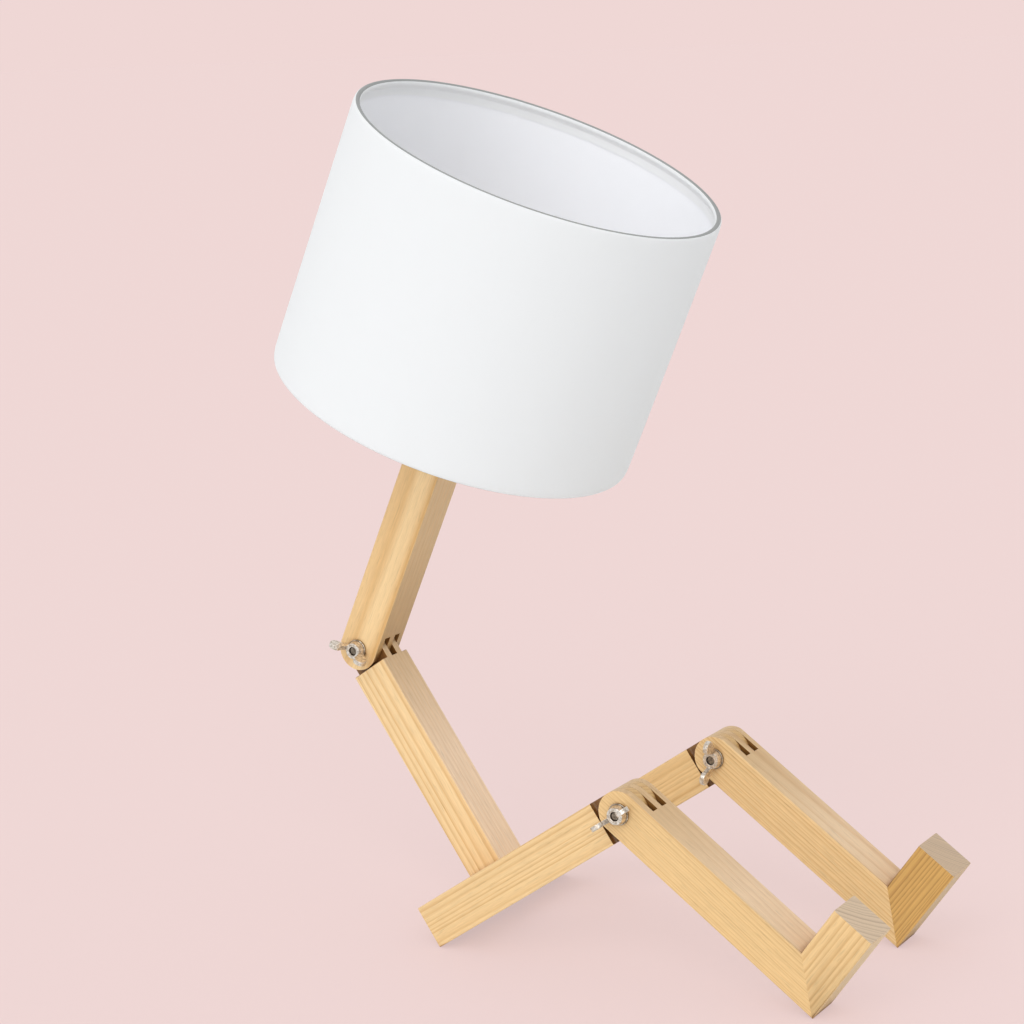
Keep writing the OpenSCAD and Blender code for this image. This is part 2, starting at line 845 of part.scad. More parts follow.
module bulb_dome() {
    color("ghostwhite") at_bulb(dome_z) difference() {
        sphere(dome_r);
        sphere(dome_r - bulb_wall);
        translate([0, 0, housing_top - dome_z + seat_play - bulb_d])
            cylinder(h = bulb_d, r = bulb_d);
    }
}

// ---------------------------------------------------------------- nodes

hip_crossbar();
thigh(RIGHT);  // thigh_right
thigh(LEFT);  // thigh_left
torso_arm();
hip_dowels();
torso_dowels();
torso_screw();
shin(RIGHT);  // shin_right
foot(RIGHT);  // foot_right
mitre_dowel(RIGHT);  // mitre_dowel_right
shin(LEFT);  // shin_left
foot(LEFT);  // foot_left
mitre_dowel(LEFT);  // mitre_dowel_left
on_knee(RIGHT) bolt();  // knee_bolt_right
on_knee(RIGHT) joint_washer();  // knee_washer_right
on_knee_level(RIGHT) joint_wing_nut(right_wing_angle);  // knee_wing_nut_right
on_knee(LEFT) bolt();  // knee_bolt_left
on_knee(LEFT) joint_washer();  // knee_washer_left
on_knee_level(LEFT) joint_wing_nut(left_wing_angle);  // knee_wing_nut_left
on_neck() bolt();  // neck_bolt
on_neck() joint_washer();  // neck_washer
on_neck_level() joint_wing_nut(neck_wing_angle);  // neck_wing_nut
neck_arm();
cable_grommet();
threaded_nipple();
nipple_washer();
nipple_locknut();
holder_cap();
cap_lock_screw();
holder_shell();
holder_insert();
holder_screw_shell();
holder_contact();
terminal_screws();
shade_ring();
shade_spider();
shade_bottom_ring();
shade_top_ring();
shade_fabric();
shade_liner();
bulb_cap();
bulb_insulator();
bulb_contact();
bulb_housing();
bulb_led_board();
bulb_dome();
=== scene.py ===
# %% [markdown]
# # A sitting lamp of pine sticks
# The lamp is a figure of square pine sticks with a white drum shade for a head. Its packed
# solids already hold every place and size. This lesson gives them what solids lack: wood
# grain, plated threads, woven cloth, moulded ribs and studio light. Everything stays in the
# solids' own frame, in metres: the figure faces -Y, its left side is +X, and +Z is up.

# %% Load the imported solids
import json
import math
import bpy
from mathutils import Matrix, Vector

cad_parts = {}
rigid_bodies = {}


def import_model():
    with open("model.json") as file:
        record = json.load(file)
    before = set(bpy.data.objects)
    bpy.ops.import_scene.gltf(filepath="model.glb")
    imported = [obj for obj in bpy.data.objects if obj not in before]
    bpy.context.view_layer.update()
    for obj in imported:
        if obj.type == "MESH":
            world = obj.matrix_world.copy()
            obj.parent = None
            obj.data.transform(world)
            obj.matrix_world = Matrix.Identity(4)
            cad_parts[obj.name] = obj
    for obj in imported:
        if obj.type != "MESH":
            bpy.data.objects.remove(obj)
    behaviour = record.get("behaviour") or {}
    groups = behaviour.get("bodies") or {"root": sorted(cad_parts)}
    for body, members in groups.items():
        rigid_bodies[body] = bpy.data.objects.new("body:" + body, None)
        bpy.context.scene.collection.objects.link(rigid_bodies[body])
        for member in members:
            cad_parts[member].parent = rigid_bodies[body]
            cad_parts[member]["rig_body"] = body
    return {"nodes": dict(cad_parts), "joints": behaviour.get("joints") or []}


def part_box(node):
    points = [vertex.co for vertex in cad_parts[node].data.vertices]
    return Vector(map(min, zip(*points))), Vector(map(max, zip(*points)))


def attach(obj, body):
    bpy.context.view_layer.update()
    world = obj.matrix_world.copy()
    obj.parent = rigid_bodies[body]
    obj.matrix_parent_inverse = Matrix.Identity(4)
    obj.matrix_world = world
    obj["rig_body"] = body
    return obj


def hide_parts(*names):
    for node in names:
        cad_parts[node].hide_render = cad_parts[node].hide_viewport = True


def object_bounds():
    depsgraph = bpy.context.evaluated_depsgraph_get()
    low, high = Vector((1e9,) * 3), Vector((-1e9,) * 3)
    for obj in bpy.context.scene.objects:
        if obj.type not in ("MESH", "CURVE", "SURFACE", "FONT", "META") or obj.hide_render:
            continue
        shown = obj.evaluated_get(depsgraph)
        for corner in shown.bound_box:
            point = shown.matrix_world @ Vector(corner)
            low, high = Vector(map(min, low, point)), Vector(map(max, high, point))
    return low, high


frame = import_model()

from types import SimpleNamespace

import bmesh
import bpy
from mathutils import Matrix, Vector, kdtree

MM = 0.001
cad_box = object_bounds()

# %% [markdown]
# ## Camera
# The camera is set by an orbit: the point that it looks at, how far round and how high it
# stands, how far away, and a slight roll. A matrix could be typed in instead, but these five
# values can be read and changed one by one. The sun is placed by the same two angles later.

# %% Place the camera
def put(name, data):
    """A new object in the scene, at the origin."""
    made = bpy.data.objects.new(name, data)
    bpy.context.collection.objects.link(made)
    return made


def toward(degrees_round, degrees_up):
    """The direction from the figure to something so far round it and so high."""
    turn, rise = math.radians(degrees_round), math.radians(degrees_up)
    return Vector((
        math.sin(turn) * math.cos(rise),
        -math.cos(turn) * math.cos(rise),
        math.sin(rise),
    ))


look_at = Vector((-0.02451, 0.04086, 0.24318))
camera_distance = 1.37123
camera_roll = math.radians(-2.049)
toward_camera = toward(301.878, 11.134)
level_right = Vector((0, 0, 1)).cross(toward_camera).normalized()
camera_up = Matrix.Rotation(camera_roll, 3, toward_camera) @ toward_camera.cross(level_right)
camera_right = camera_up.cross(toward_camera)

camera_data = bpy.data.cameras.new("camera")
camera_data.lens = 87.606
camera_data.sensor_width = 36
camera_data.clip_start = 0.05
camera = put("camera", camera_data)
camera.matrix_world = (
    Matrix.Translation(look_at + camera_distance * toward_camera)
    @ Matrix((camera_right, camera_up, toward_camera)).transposed().to_4x4()
)
bpy.context.scene.camera = camera
print("camera at", [round(c, 4) for c in camera.matrix_world.translation])

# %% [markdown]
# ## Frames of reference
# Shade, holder and bulb are turned shapes on one axis, which leans with the neck. It is far
# easier to draw such a shape upright and lean it afterwards. So one matrix stands for the
# neck: its origin is the neck's pivot and its z runs up the middle of the shade. The same is
# done for each clamping bolt, with z pointing out through its wing nut.

# %% Find the neck's frame and the bolts' frames
def middle(node):
    low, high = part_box(node)
    return (low + high) / 2


def pivot(joint_name):
    joint = next(j for j in frame["joints"] if j["name"] == joint_name)
    return Vector(joint["pos_m"])


def upright(origin, up, side):
    """A matrix whose z is up and whose x lies nearest to side."""
    z = up.normalized()
    y = z.cross(side).normalized()
    x = y.cross(z)
    return Matrix.Translation(origin) @ Matrix((x, y, z)).transposed().to_4x4()


X_AXIS, Y_AXIS, Z_AXIS = Vector((1, 0, 0)), Vector((0, 1, 0)), Vector((0, 0, 1))
neck = upright(
    pivot("neck_pivot"), middle("shade_top_ring") - middle("shade_bottom_ring"), X_AXIS
)
# The solids' names at each clamp, with a gap for the kind of hardware, and the clamp's joint
CLAMPS = {"knee_{}_right": "knee_right", "knee_{}_left": "knee_left", "neck_{}": "neck_pivot"}
clamp_frames = {
    clamp: upright(pivot(joint), -X_AXIS, Z_AXIS) for clamp, joint in CLAMPS.items()
}


def measure(node, place=neck, above=-1.0):
    """Heights and radii of a solid in a frame, from its points above a height."""
    back = place.inverted()
    points = [back @ v.co for v in frame["nodes"][node].data.vertices]
    points = [p for p in points if p.z > above]
    radii = [math.hypot(p.x, p.y) for p in points]
    heights = [p.z for p in points]
    return SimpleNamespace(
        low=min(heights), high=max(heights), inner=min(radii), outer=max(radii)
    )


print("neck leans", round(math.degrees(neck.to_3x3().col[2].angle((0, 0, 1))), 2), "degrees")

# %% [markdown]
# ## Small tools for node trees
# Materials and Geometry Nodes are both trees of nodes. Wired one by one, a sum takes a node
# for every sign and soon can't be read. So the output of a node is wrapped in a small class
# that can stand in a formula, and writing the formula adds the nodes.

# %% Write node trees as formulas
def sign(operation, swapped=False):
    """A method that joins a wire and another value with a math node."""
    def method(wire, other):
        first, second = (other, wire) if swapped else (wire, other)
        return calc(operation, first, second)
    return method


class Wire:
    """The output of a node. It can stand in a formula like a number."""

    def __init__(self, tree, socket):
        self.tree, self.socket = tree, socket

    def __abs__(self):
        return calc("ABSOLUTE", self)

    __add__ = __radd__ = sign("ADD")
    __mul__ = __rmul__ = sign("MULTIPLY")
    __sub__, __rsub__ = sign("SUBTRACT"), sign("SUBTRACT", swapped=True)
    __truediv__ = sign("DIVIDE")
    __lt__, __gt__ = sign("LESS_THAN"), sign("GREATER_THAN")


def tree_of(*values):
    return next(value.tree for value in values if isinstance(value, Wire))


def fill(tree, node, inputs):
    """Joins wires to a node's inputs and sets the other inputs to plain values."""
    for key, value in inputs.items():
        if isinstance(value, Wire):
            tree.links.new(value.socket, node.inputs[key])
        else:
            node.inputs[key].default_value = value


def add(tree, kind, inputs=None, out=0, **settings):
    """Adds a node to a tree and returns one of its outputs."""
    made = tree.nodes.new(kind)
    for key, value in settings.items():
        setattr(made, key, value)
    fill(tree, made, inputs or {})
    return Wire(tree, made.outputs[out])


def calc(operation, *values, clamp=False):
    return add(tree_of(*values), "ShaderNodeMath", dict(enumerate(values)),
               operation=operation, use_clamp=clamp)


print("formulas ready")

# %% [markdown]
# The rest of a pattern is always made of the same few nodes: sums on vectors, noise, ramps
# and mixes. Each gets a helper of its own. A bump turns a height into dents that only the
# shading shows, which is right for marks finer than a tenth of a millimetre.

# %% Vectors, noise, ramps and mixes
def hypotenuse(x, y):
    return calc("SQRT", x * x + y * y)


def stretch(vector, by):
    """Multiplies each part of a vector by its own factor."""
    return add(vector.tree, "ShaderNodeVectorMath", {0: vector, 1: by}, operation="MULTIPLY")


def dot(vector, other):
    return add(vector.tree, "ShaderNodeVectorMath", {0: vector, 1: other}, 1,
               operation="DOT_PRODUCT")


def split(vector):
    parts = vector.tree.nodes.new("ShaderNodeSeparateXYZ")
    fill(vector.tree, parts, {0: vector})
    return [Wire(vector.tree, part) for part in parts.outputs]


def noise(vector, scale, detail=2.0, rough=0.5):
    inputs = {"Vector": vector, "Scale": scale, "Detail": detail, "Roughness": rough}
    return add(vector.tree, "ShaderNodeTexNoise", inputs)


def ramp(factor, stops):
    """A grey ramp through (position, value) stops."""
    made = factor.tree.nodes.new("ShaderNodeValToRGB")
    fill(factor.tree, made, {0: factor})
    band = made.color_ramp
    while len(band.elements) < len(stops):
        band.elements.new(0.5)
    for element, (position, value) in zip(band.elements, stops):
        element.position = position
        element.color = (value, value, value, 1)
    return Wire(factor.tree, made.outputs[0])


def blend(factor, first, second):
    return add(tree_of(factor, first, second), "ShaderNodeMix", {0: factor, 2: first, 3: second})


def blend_colour(factor, first, second, kind="MIX"):
    return add(tree_of(factor, first, second), "ShaderNodeMix",
               {0: factor, 6: first, 7: second}, 2, data_type="RGBA", blend_type=kind)


def bump(height, strength, distance):
    inputs = {"Height": height, "Strength": strength, "Distance": distance}
    return add(height.tree, "ShaderNodeBump", inputs)


print("patterns ready")

# %% [markdown]
# A group is a tree with named inputs, so one pattern serves many materials and one rule makes
# many sizes. A material starts with its shader. Its patterns follow a piece's own coordinates,
# so they stay in place on the piece when a joint turns it.

# %% Groups and materials
def new_group(name, kind, inputs, outputs):
    """An empty node group; inputs and outputs map the names of sockets to their types."""
    group = bpy.data.node_groups.new(name, kind)
    for way, sockets in (("INPUT", inputs), ("OUTPUT", outputs)):
        for title, socket in sockets.items():
            group.interface.new_socket(title, in_out=way, socket_type="NodeSocket" + socket)
    given = group.nodes.new("NodeGroupInput").outputs
    wires = {socket.name: Wire(group, socket) for socket in given}
    return group, wires, group.nodes.new("NodeGroupOutput")


def new_material(name):
    """A material with its tree and its Principled shader."""
    material = bpy.data.materials.new(name)
    material.use_nodes = True
    tree = material.node_tree
    return material, tree, tree.nodes["Principled BSDF"]


def object_position(tree):
    return add(tree, "ShaderNodeTexCoord", out=3)


print("node helpers ready")

# %% [markdown]
# ## Pine
# A stick is sawn out of a tree, so its figure is one solid pattern: rings round the tree's
# pith, pale in spring and amber in summer, drawn out along the grain. A flat picture of wood
# would break at every corner. A solid pattern cuts the rings as the saw did: stripes on two
# sides, broad flames on the others and arcs on the end grain. The group takes a position
# with the pith on its z axis, and how far a face looks along the grain.

# %% The pine pattern
pine_group, given, result = new_group(
    "pine rings", "ShaderNodeTree",
    {"Position": "Vector", "End": "Float", "Inside": "Float", "Hinge Tint": "Float",
     "Ring Width": "Float", "Contrast": "Float", "Spring": "Color", "Summer": "Color"},
    {"Colour": "Color", "Roughness": "Float", "Height": "Float"},
)
DRAWN_OUT = (1, 1, 0.09)
SWAY = 3.2 * MM

position = given["Position"]
drawn_out = stretch(position, DRAWN_OUT)
x, y, _ = split(position)
from_pith = hypotenuse(x, y) + (noise(drawn_out, 42) - 0.5) * SWAY
years = from_pith / given["Ring Width"]
uneven = add(pine_group, "ShaderNodeTexNoise", {"W": years, "Scale": 0.37, "Detail": 1.0},
             noise_dimensions="1D")
years = years + uneven * 1.6
summer = ramp(calc("FRACT", years),
              [(0.0, 0.30), (0.10, 0.0), (0.45, 0.12), (0.74, 0.55), (0.90, 1.0), (1.0, 0.34)])
this_year = add(pine_group, "ShaderNodeTexWhiteNoise", {"W": calc("FLOOR", years)},
                noise_dimensions="1D")
strength = (this_year * 0.55 + 0.6) * given["Contrast"]
summer = calc("MULTIPLY", summer, strength, clamp=True)
colour = blend_colour(summer, given["Spring"], given["Summer"])
print("pine rings:", len(pine_group.nodes), "nodes")

# %% [markdown]
# Rings alone look painted. Three finer layers make it timber: hair-thin fibres, short dark
# resin ducts, and slow clouds where the board took the light differently. End grain drinks
# more lacquer, so it is darker, greyer and duller. Three darker marks follow. Where two faces
# almost meet, dust and painted shade darken the wood. Inside a joint, the sawn cheeks and
# floors get painted shade. Near a hinge, faces that don't look sideways get a darker tint.

# %% Fibres, resin ducts, clouds, end grain, painted shade and a hinge tint
# How many times a metre a pattern changes: twice across the grain, then along it
FIBRES = (1500, 1500, 26)
DASHES = (1150, 1150, 110)
DUCTS = (1300, 1300, 105)
END_GRAIN = (0.55, 0.45, 0.37, 1)
# Dust with painted shade where faces almost meet, painted shade inside joints, a tint near hinges
DUST_AND_CRACK_SHADE = (0.50, 0.33, 0.20, 1)
HINGE_TINT = (0.76, 0.69, 0.53, 1)
JOINT_SHADE = (0.30, 0.20, 0.08, 1)
CRACK_SHADE_REACH = 5 * MM


def open_air(tree, distance):
    """How free a point is of other faces within a distance: 1 in the open, 0 in a crack."""
    return add(tree, "ShaderNodeAmbientOcclusion", {"Distance": distance}, 1, samples=8)


fibre = noise(stretch(position, FIBRES), 1.0, 3, 0.6)
dashes = noise(stretch(position, DASHES), 1.0, 2, 0.6)
ducts = ramp(noise(stretch(position, DUCTS), 1.0, 1),
             [(0.0, 0.0), (0.62, 0.0), (0.74, 1.0), (1.0, 1.0)])
clouds = noise(drawn_out, 21, 3)
value = (fibre * 0.22 + 0.89) * (clouds * 0.20 + 0.90) * (dashes * 0.26 + 0.87) - ducts * 0.13
colour = blend_colour(1.0, colour, value, "MULTIPLY")

on_end = ramp(abs(given["End"]), [(0.0, 0.0), (0.80, 0.0), (0.97, 1.0)])
end_colour = blend_colour(0.62, colour, END_GRAIN)
end_colour = blend_colour(1.0, end_colour, 1.0 - summer * 0.24, "MULTIPLY")
colour = blend_colour(on_end, colour, end_colour)

# Painted shade: darker where other faces are near, and on a joint's sawn faces
crack_shade_share = ramp(open_air(pine_group, CRACK_SHADE_REACH),
               [(0.0, 1.0), (0.40, 0.75), (0.70, 0.18), (0.88, 0.0)])
for share, darkening in ((crack_shade_share, DUST_AND_CRACK_SHADE), (given["Hinge Tint"], HINGE_TINT), (given["Inside"], JOINT_SHADE)):
    colour = blend_colour(share, colour, darkening, "MULTIPLY")
fill(pine_group, result, {
    "Colour": colour,
    "Roughness": 0.50 - summer * 0.08 + on_end * 0.18,
    "Height": summer * 0.6 + fibre * 0.4 - ducts * 0.5,
})
print("pine pattern:", len(pine_group.nodes), "nodes")

# %% [markdown]
# ## Sticks
# Each stick is a copy of its solid, with the sawn edges at its ends and fingers eased as by
# fine paper. The long edges already have their radius. A bevel over all edges would also
# open the glue lines, so an edge that touches a glued neighbour stays sharp, and so do the
# inside corners, which no sandpaper reaches.

# %% Copy a solid with its cut edges eased
SAME_POINT = 0.004 * MM
FLAT_WITHIN = math.radians(1.0)
GLUE_LINE = 0.15 * MM


def welded(node):
    """A solid's triangles, merged into whole faces."""
    shape = bmesh.new()
    shape.from_mesh(frame["nodes"][node].data)
    bmesh.ops.remove_doubles(shape, verts=shape.verts, dist=SAME_POINT)
    bmesh.ops.dissolve_limit(shape, angle_limit=FLAT_WITHIN, verts=shape.verts, edges=shape.edges)
    return shape


def points_near(nodes):
    spots = [v.co for n in nodes for v in frame["nodes"][n].data.vertices]
    tree = kdtree.KDTree(len(spots))
    for i, spot in enumerate(spots):
        tree.insert(spot, i)
    tree.balance()
    return tree


def ease(shape, width, segments=2, sharper_than=40, glued=None):
    """Rounds the outside corners that are sharper than an angle, except on glue lines."""
    chosen = []
    for edge in shape.edges:
        if len(edge.link_faces) != 2:
            continue
        if edge.calc_face_angle_signed() < math.radians(sharper_than):
            continue
        if glued and all(glued.find(v.co)[2] < GLUE_LINE for v in edge.verts):
            continue
        chosen.append(edge)
    bmesh.ops.bevel(shape, geom=chosen, offset=width, offset_type="OFFSET", segments=segments,
                    profile=0.5, affect="EDGES", clamp_overlap=True)
    return len(chosen)


print("edge tools ready")

# %% [markdown]
# Each new piece takes the same last steps. Its shape becomes a mesh, flat faces are shaded
# flat and round ones round, and whatever modifiers it has are turned into plain mesh. Then it
# is tied to the body that its solid rides on, and stands in for that solid.

# %% Finish a piece and put it in its solid's place
def to_mesh(shape, name="part"):
    """Turns a bmesh into a mesh; the bmesh is used up."""
    mesh = bpy.data.meshes.new(name)
    shape.to_mesh(mesh)
    shape.free()
    return mesh


def bake(piece):
    """Turns an object's modifiers into plain mesh."""
    plain = piece.data
    graph = bpy.context.evaluated_depsgraph_get()
    mesh = bpy.data.meshes.new_from_object(piece.evaluated_get(graph))
    piece.modifiers.clear()
    piece.data = mesh
    bpy.data.meshes.remove(plain)
    mesh.name = piece.name
    return mesh


def finished(name, shape, material, smooth_below=50):
    """An object from a bmesh, with a material and even shading; the bmesh is used up."""
    mesh = to_mesh(shape, name)
    mesh.shade_smooth()
    mesh.set_sharp_from_angle(angle=math.radians(smooth_below))
    mesh.materials.append(material)
    piece = put(name, mesh)
    weighted = piece.modifiers.new("even shading", "WEIGHTED_NORMAL")
    weighted.keep_sharp = True
    weighted.weight = 100
    bake(piece)
    return piece


def settle(piece, node):
    """Puts a piece in its solid's place: the same body, with the solid hidden."""
    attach(piece, frame["nodes"][node]["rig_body"])
    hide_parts(node)
    return piece


print("finishing tools ready")

# %% [markdown]
# The grain runs along a stick, so the pattern needs each stick's direction. It is the
# direction of the longest edge of the merged solid. The pith lies outside the stick, as in
# most sawn stock, and a little out of line with it, which makes the rings drift over a face.

# %% Choose each stick's own piece of tree
SPRING = (0.870, 0.615, 0.325)
SUMMER = (0.700, 0.405, 0.150)
HONEY = (0.780, 0.480, 0.175)
RUST = (0.520, 0.260, 0.075)
# Painted light on the planed front and top faces: a paler sheen, a darker shade
PAINTED_SHEEN_FACE = (0.830, 0.620, 0.450)
PAINTED_SHADE_FACE = (0.600, 0.385, 0.185)
STICKS = {
    # node: (glued neighbours, pith across x and y in mm, ring in mm, lean in degrees,
    #        contrast, tone, warmth, share of painted sheen or (below 0) painted shade on the
    #        front and top faces)
    "neck_arm": ([], (-62, 12), 4.2, 0.5, 1.15, 1.00, 0.12, -0.80),
    "torso_arm": (["hip_crossbar"], (-48, 30), 3.2, 0.8, 0.85, 1.00, 0.05, 0.80),
    "hip_crossbar": (["torso_arm", "thigh_right", "thigh_left"],
                     (40, 50), 2.6, 0.5, 0.75, 0.96, 0.20, 0.00),
    "thigh_right": (["hip_crossbar"], (30, -85), 2.7, 0.5, 0.85, 0.98, 0.25, 0.20),
    "thigh_left": (["hip_crossbar"], (55, -70), 2.4, -0.4, 0.80, 0.95, 0.35, 0.20),
    "shin_right": (["foot_right"], (-25, 95), 1.6, 0.6, 0.62, 0.95, 0.45, 0.60),
    "foot_right": (["shin_right"], (75, -90), 2.6, 0.8, 0.95, 0.96, 0.40, 0.20),
    "shin_left": (["foot_left"], (20, 90), 2.0, 0.4, 0.90, 0.97, 0.25, 0.50),
    "foot_left": (["shin_left"], (80, -72), 1.3, 0.7, 0.85, 0.85, 1.30, 0.20),
}
HINGES = {
    "neck_arm": "neck_pivot", "torso_arm": "neck_pivot",
    "thigh_right": "knee_right", "shin_right": "knee_right",
    "thigh_left": "knee_left", "shin_left": "knee_left",
}
print("sticks:", len(STICKS), "of them hinged:", len(HINGES))

# %% [markdown]
# A jointed stick gets painted shade on the sawn cheeks and floors where its fingers are, and a
# darker tint near its hinge. The material finds those places by sums on the position and the
# face's direction: a cheek looks across and lies below the stick's side, a slot's floor looks
# along the stick and lies past the round end.

# %% Find the faces inside a joint
STICK = 25 * MM
BELOW_SIDE = 0.8 * MM
PAST_ROUND = 0.4 * MM
JOINT_REACH = 21 * MM
HINGE_TINT_REACH = 80 * MM


def inside_joint(tree, normal, facing, centre, hinge):
    """Masks for a joint: its sawn cheeks and floors, and how near the hinge a point is."""
    x, y, z = split(object_position(tree))
    from_axis = hypotenuse(y - hinge.y, z - hinge.z)
    cheek = (abs(x - centre.x) < STICK / 2 - BELOW_SIDE) * (abs(split(normal)[0]) > 0.9)
    floor = (from_axis > STICK / 2 + PAST_ROUND) * (abs(facing) > 0.3)
    inside = (from_axis < JOINT_REACH) * calc("MAXIMUM", cheek, floor)
    nearness = add(tree, "ShaderNodeMapRange",
                   {0: from_axis, 1: STICK / 2, 2: HINGE_TINT_REACH, 3: 1.0, 4: 0.0})
    return inside, nearness


print("joint masks ready")

# %% [markdown]
# No two sticks came from one board. Each mixes its spring and summer wood from a fresh and a
# ripe tone. Its planed front and top faces get a share of painted light of their own: a paler
# painted sheen or, where the share is below 0, a darker painted shade. The group of rings is
# the same for all; only the values that go into it differ.

# %% One stick's own pine
# How far summer wood on those faces goes over to their painted sheen or shade
LATE_WOOD_FADES = 0.66


def mixed_colour(first, second, share):
    return [a + (b - a) * share for a, b in zip(first, second)]


def stick_colours(tone, warmth, face_light_share):
    """Spring and summer wood, and how each of them looks under the planed faces' painted sheen or
    shade.
    """
    face = PAINTED_SHEEN_FACE if face_light_share > 0 else PAINTED_SHADE_FACE
    fresh = (mixed_colour(SPRING, HONEY, warmth), mixed_colour(SUMMER, RUST, warmth), face)
    spring, summer, face = ([c * tone for c in colour] + [1] for colour in fresh)
    return spring, summer, face, mixed_colour(summer, face, LATE_WOOD_FADES)


def pine_material(name, centre, grain, hinge, pith, ring, lean, contrast, tone, warmth, face_light_share):
    material, tree, shader = new_material(name)
    stick_frame = upright(centre, grain, X_AXIS if abs(grain.x) < 0.5 else Y_AXIS)
    place = stick_frame @ Matrix.Translation((pith[0] * MM, pith[1] * MM, 0))
    place = place @ Matrix.Rotation(math.radians(lean), 4, "X")
    from_tree = add(tree, "ShaderNodeMapping", {
        "Vector": object_position(tree),
        "Location": place.translation,
        "Rotation": place.to_euler(),
    }, vector_type="TEXTURE")
    normal = add(tree, "ShaderNodeTexCoord", out=1)
    facing = dot(normal, grain)
    end, inside, hinge_tint_share = facing, 0.0, 0.0
    if hinge is not None:
        inside, nearness = inside_joint(tree, normal, facing, centre, hinge)
        end = facing * (1.0 - nearness)
        # A darker tint on faces near the hinge that don't look sideways
        hinge_tint_share = nearness * (1.0 - abs(split(normal)[0]))

    spring, summer, painted_face_spring, painted_face_summer = stick_colours(tone, warmth, face_light_share)
    # Faces across the stick's y axis take the painted sheen or shade
    across = abs(dot(normal, stick_frame.to_3x3().col[1]))
    light_painted_faces = ramp(across, [(0.6, 0.0), (0.95, 1.0)]) * abs(face_light_share)
    rings = tree.nodes.new("ShaderNodeGroup")
    rings.node_tree = pine_group
    fill(tree, rings, {
        "Position": from_tree, "End": end, "Inside": inside, "Hinge Tint": hinge_tint_share,
        "Ring Width": ring * MM, "Contrast": contrast,
        "Spring": blend_colour(light_painted_faces, spring, painted_face_spring),
        "Summer": blend_colour(light_painted_faces, summer, painted_face_summer),
    })
    colour, roughness, height = (Wire(tree, socket) for socket in rings.outputs)
    fill(tree, shader, {
        "Base Color": colour, "Roughness": roughness, "Normal": bump(height, 0.35, 0.06 * MM),
        "Coat Weight": 0.20, "Coat Roughness": 0.30,
    })
    return material


print("pine ready")

# %% Saw the sticks
EASED = 0.35 * MM

for node, (neighbours, pith, *look) in STICKS.items():
    shape = welded(node)
    longest = max(shape.edges, key=lambda e: e.calc_length())
    grain = (longest.verts[1].co - longest.verts[0].co).normalized()
    eased = ease(shape, EASED, glued=points_near(neighbours) if neighbours else None)
    name = node + "_wood"
    hinge = pivot(HINGES[node]) if node in HINGES else None
    material = pine_material(name, middle(node), grain, hinge, pith, *look)
    piece = settle(finished(name, shape, material), node)
    print(name, "edges eased:", eased, "faces:", len(piece.data.polygons))

# %% [markdown]
# ## Dowels
# The dowels are beech, straight and fine-grained, and sit inside the joints. Their solids
# have the right shape, so they only get a finish: a pale wood with fine flecks. Many plain
# materials drift a little between two colours in this way, so the recipe is a helper.

# %% Beech for the dowels
def mottled(name, first, second, scale, detail, roughness, duller=0.0):
    """A material that drifts from one colour to a second, and may grow duller on the way."""
    material, tree, shader = new_material(name)
    cloud = noise(object_position(tree), scale, detail)
    fill(tree, shader, {
        "Base Color": blend_colour(cloud, first, second),
        "Roughness": cloud * duller + roughness if duller else roughness,
    })
    return material, tree, shader


def finish_solids(material, slot_name, *nodes):
    """Puts a material on solids that keep their own shape."""
    for node in nodes:
        solid = frame["nodes"][node]
        solid.data.materials.clear()
        solid.data.materials.append(material)


beech, _, _ = mottled("beech dowel", (0.62, 0.40, 0.20, 1), (0.74, 0.53, 0.31, 1),
                      900, 3, 0.5, 0.2)
finish_solids(beech, "dowel_wood", "hip_dowels", "torso_dowels",
              "mitre_dowel_right", "mitre_dowel_left")
print("dowels finished")

# %% [markdown]
# ## Metals
# Bright zinc is a thin plate over a slightly uneven casting or turning: a strong mirror with
# soft smears and fine pits, and with grime and painted shade in its inside corners. Its
# colour is warmer than bare zinc, partly as painted reflection of the pine round it. The same
# recipe, with another colour and roughness, gives the brass of the holder and the nickel of
# the bulb's cap, and there no grime or painted shade is added.

# %% A recipe for plated metal
GRIME_AND_SHADE = (0.28, 0.20, 0.13, 1)
GRIME_AND_SHADE_REACH = 3 * MM


def plated(name, colour, smear_colour, roughness, pit_size=0.05 * MM, grime_and_shade=None):
    """A plated metal; grime_and_shade is a ramp from shut in to open air, for grime and painted
    shade in corners.
    """
    material, tree, shader = new_material(name)
    where = object_position(tree)
    smear = ramp(noise(where, 620, 3, 0.65), [(0.36, 0.0), (0.62, 1.0)])
    plate = blend_colour(smear, colour, smear_colour)
    # Grime and painted shade darken the inside corners
    if grime_and_shade:
        grime_and_shade_share = ramp(open_air(tree, GRIME_AND_SHADE_REACH), grime_and_shade)
        plate = blend_colour(grime_and_shade_share, plate, GRIME_AND_SHADE, "MULTIPLY")
    pits = noise(where, 1900) + noise(where, 420) * 2.5
    fill(tree, shader, {
        "Base Color": plate,
        "Roughness": smear * 0.16 + (roughness - 0.08),
        "Metallic": 1.0,
        "Normal": bump(pits, 0.5, pit_size),
    })
    return material


# The warm tints of both zincs are partly painted reflection of the pine
cast_zinc = plated("cast zinc", (0.92, 0.85, 0.77, 1), (0.50, 0.42, 0.34, 1), 0.38, 0.12 * MM,
                   grime_and_shade=[(0.0, 1.0), (0.35, 0.8), (0.72, 0.0)])
zinc = plated("bright zinc", (0.82, 0.77, 0.69, 1), (0.36, 0.31, 0.24, 1), 0.24,
              grime_and_shade=[(0.0, 1.0), (0.55, 0.8), (0.92, 0.0)])
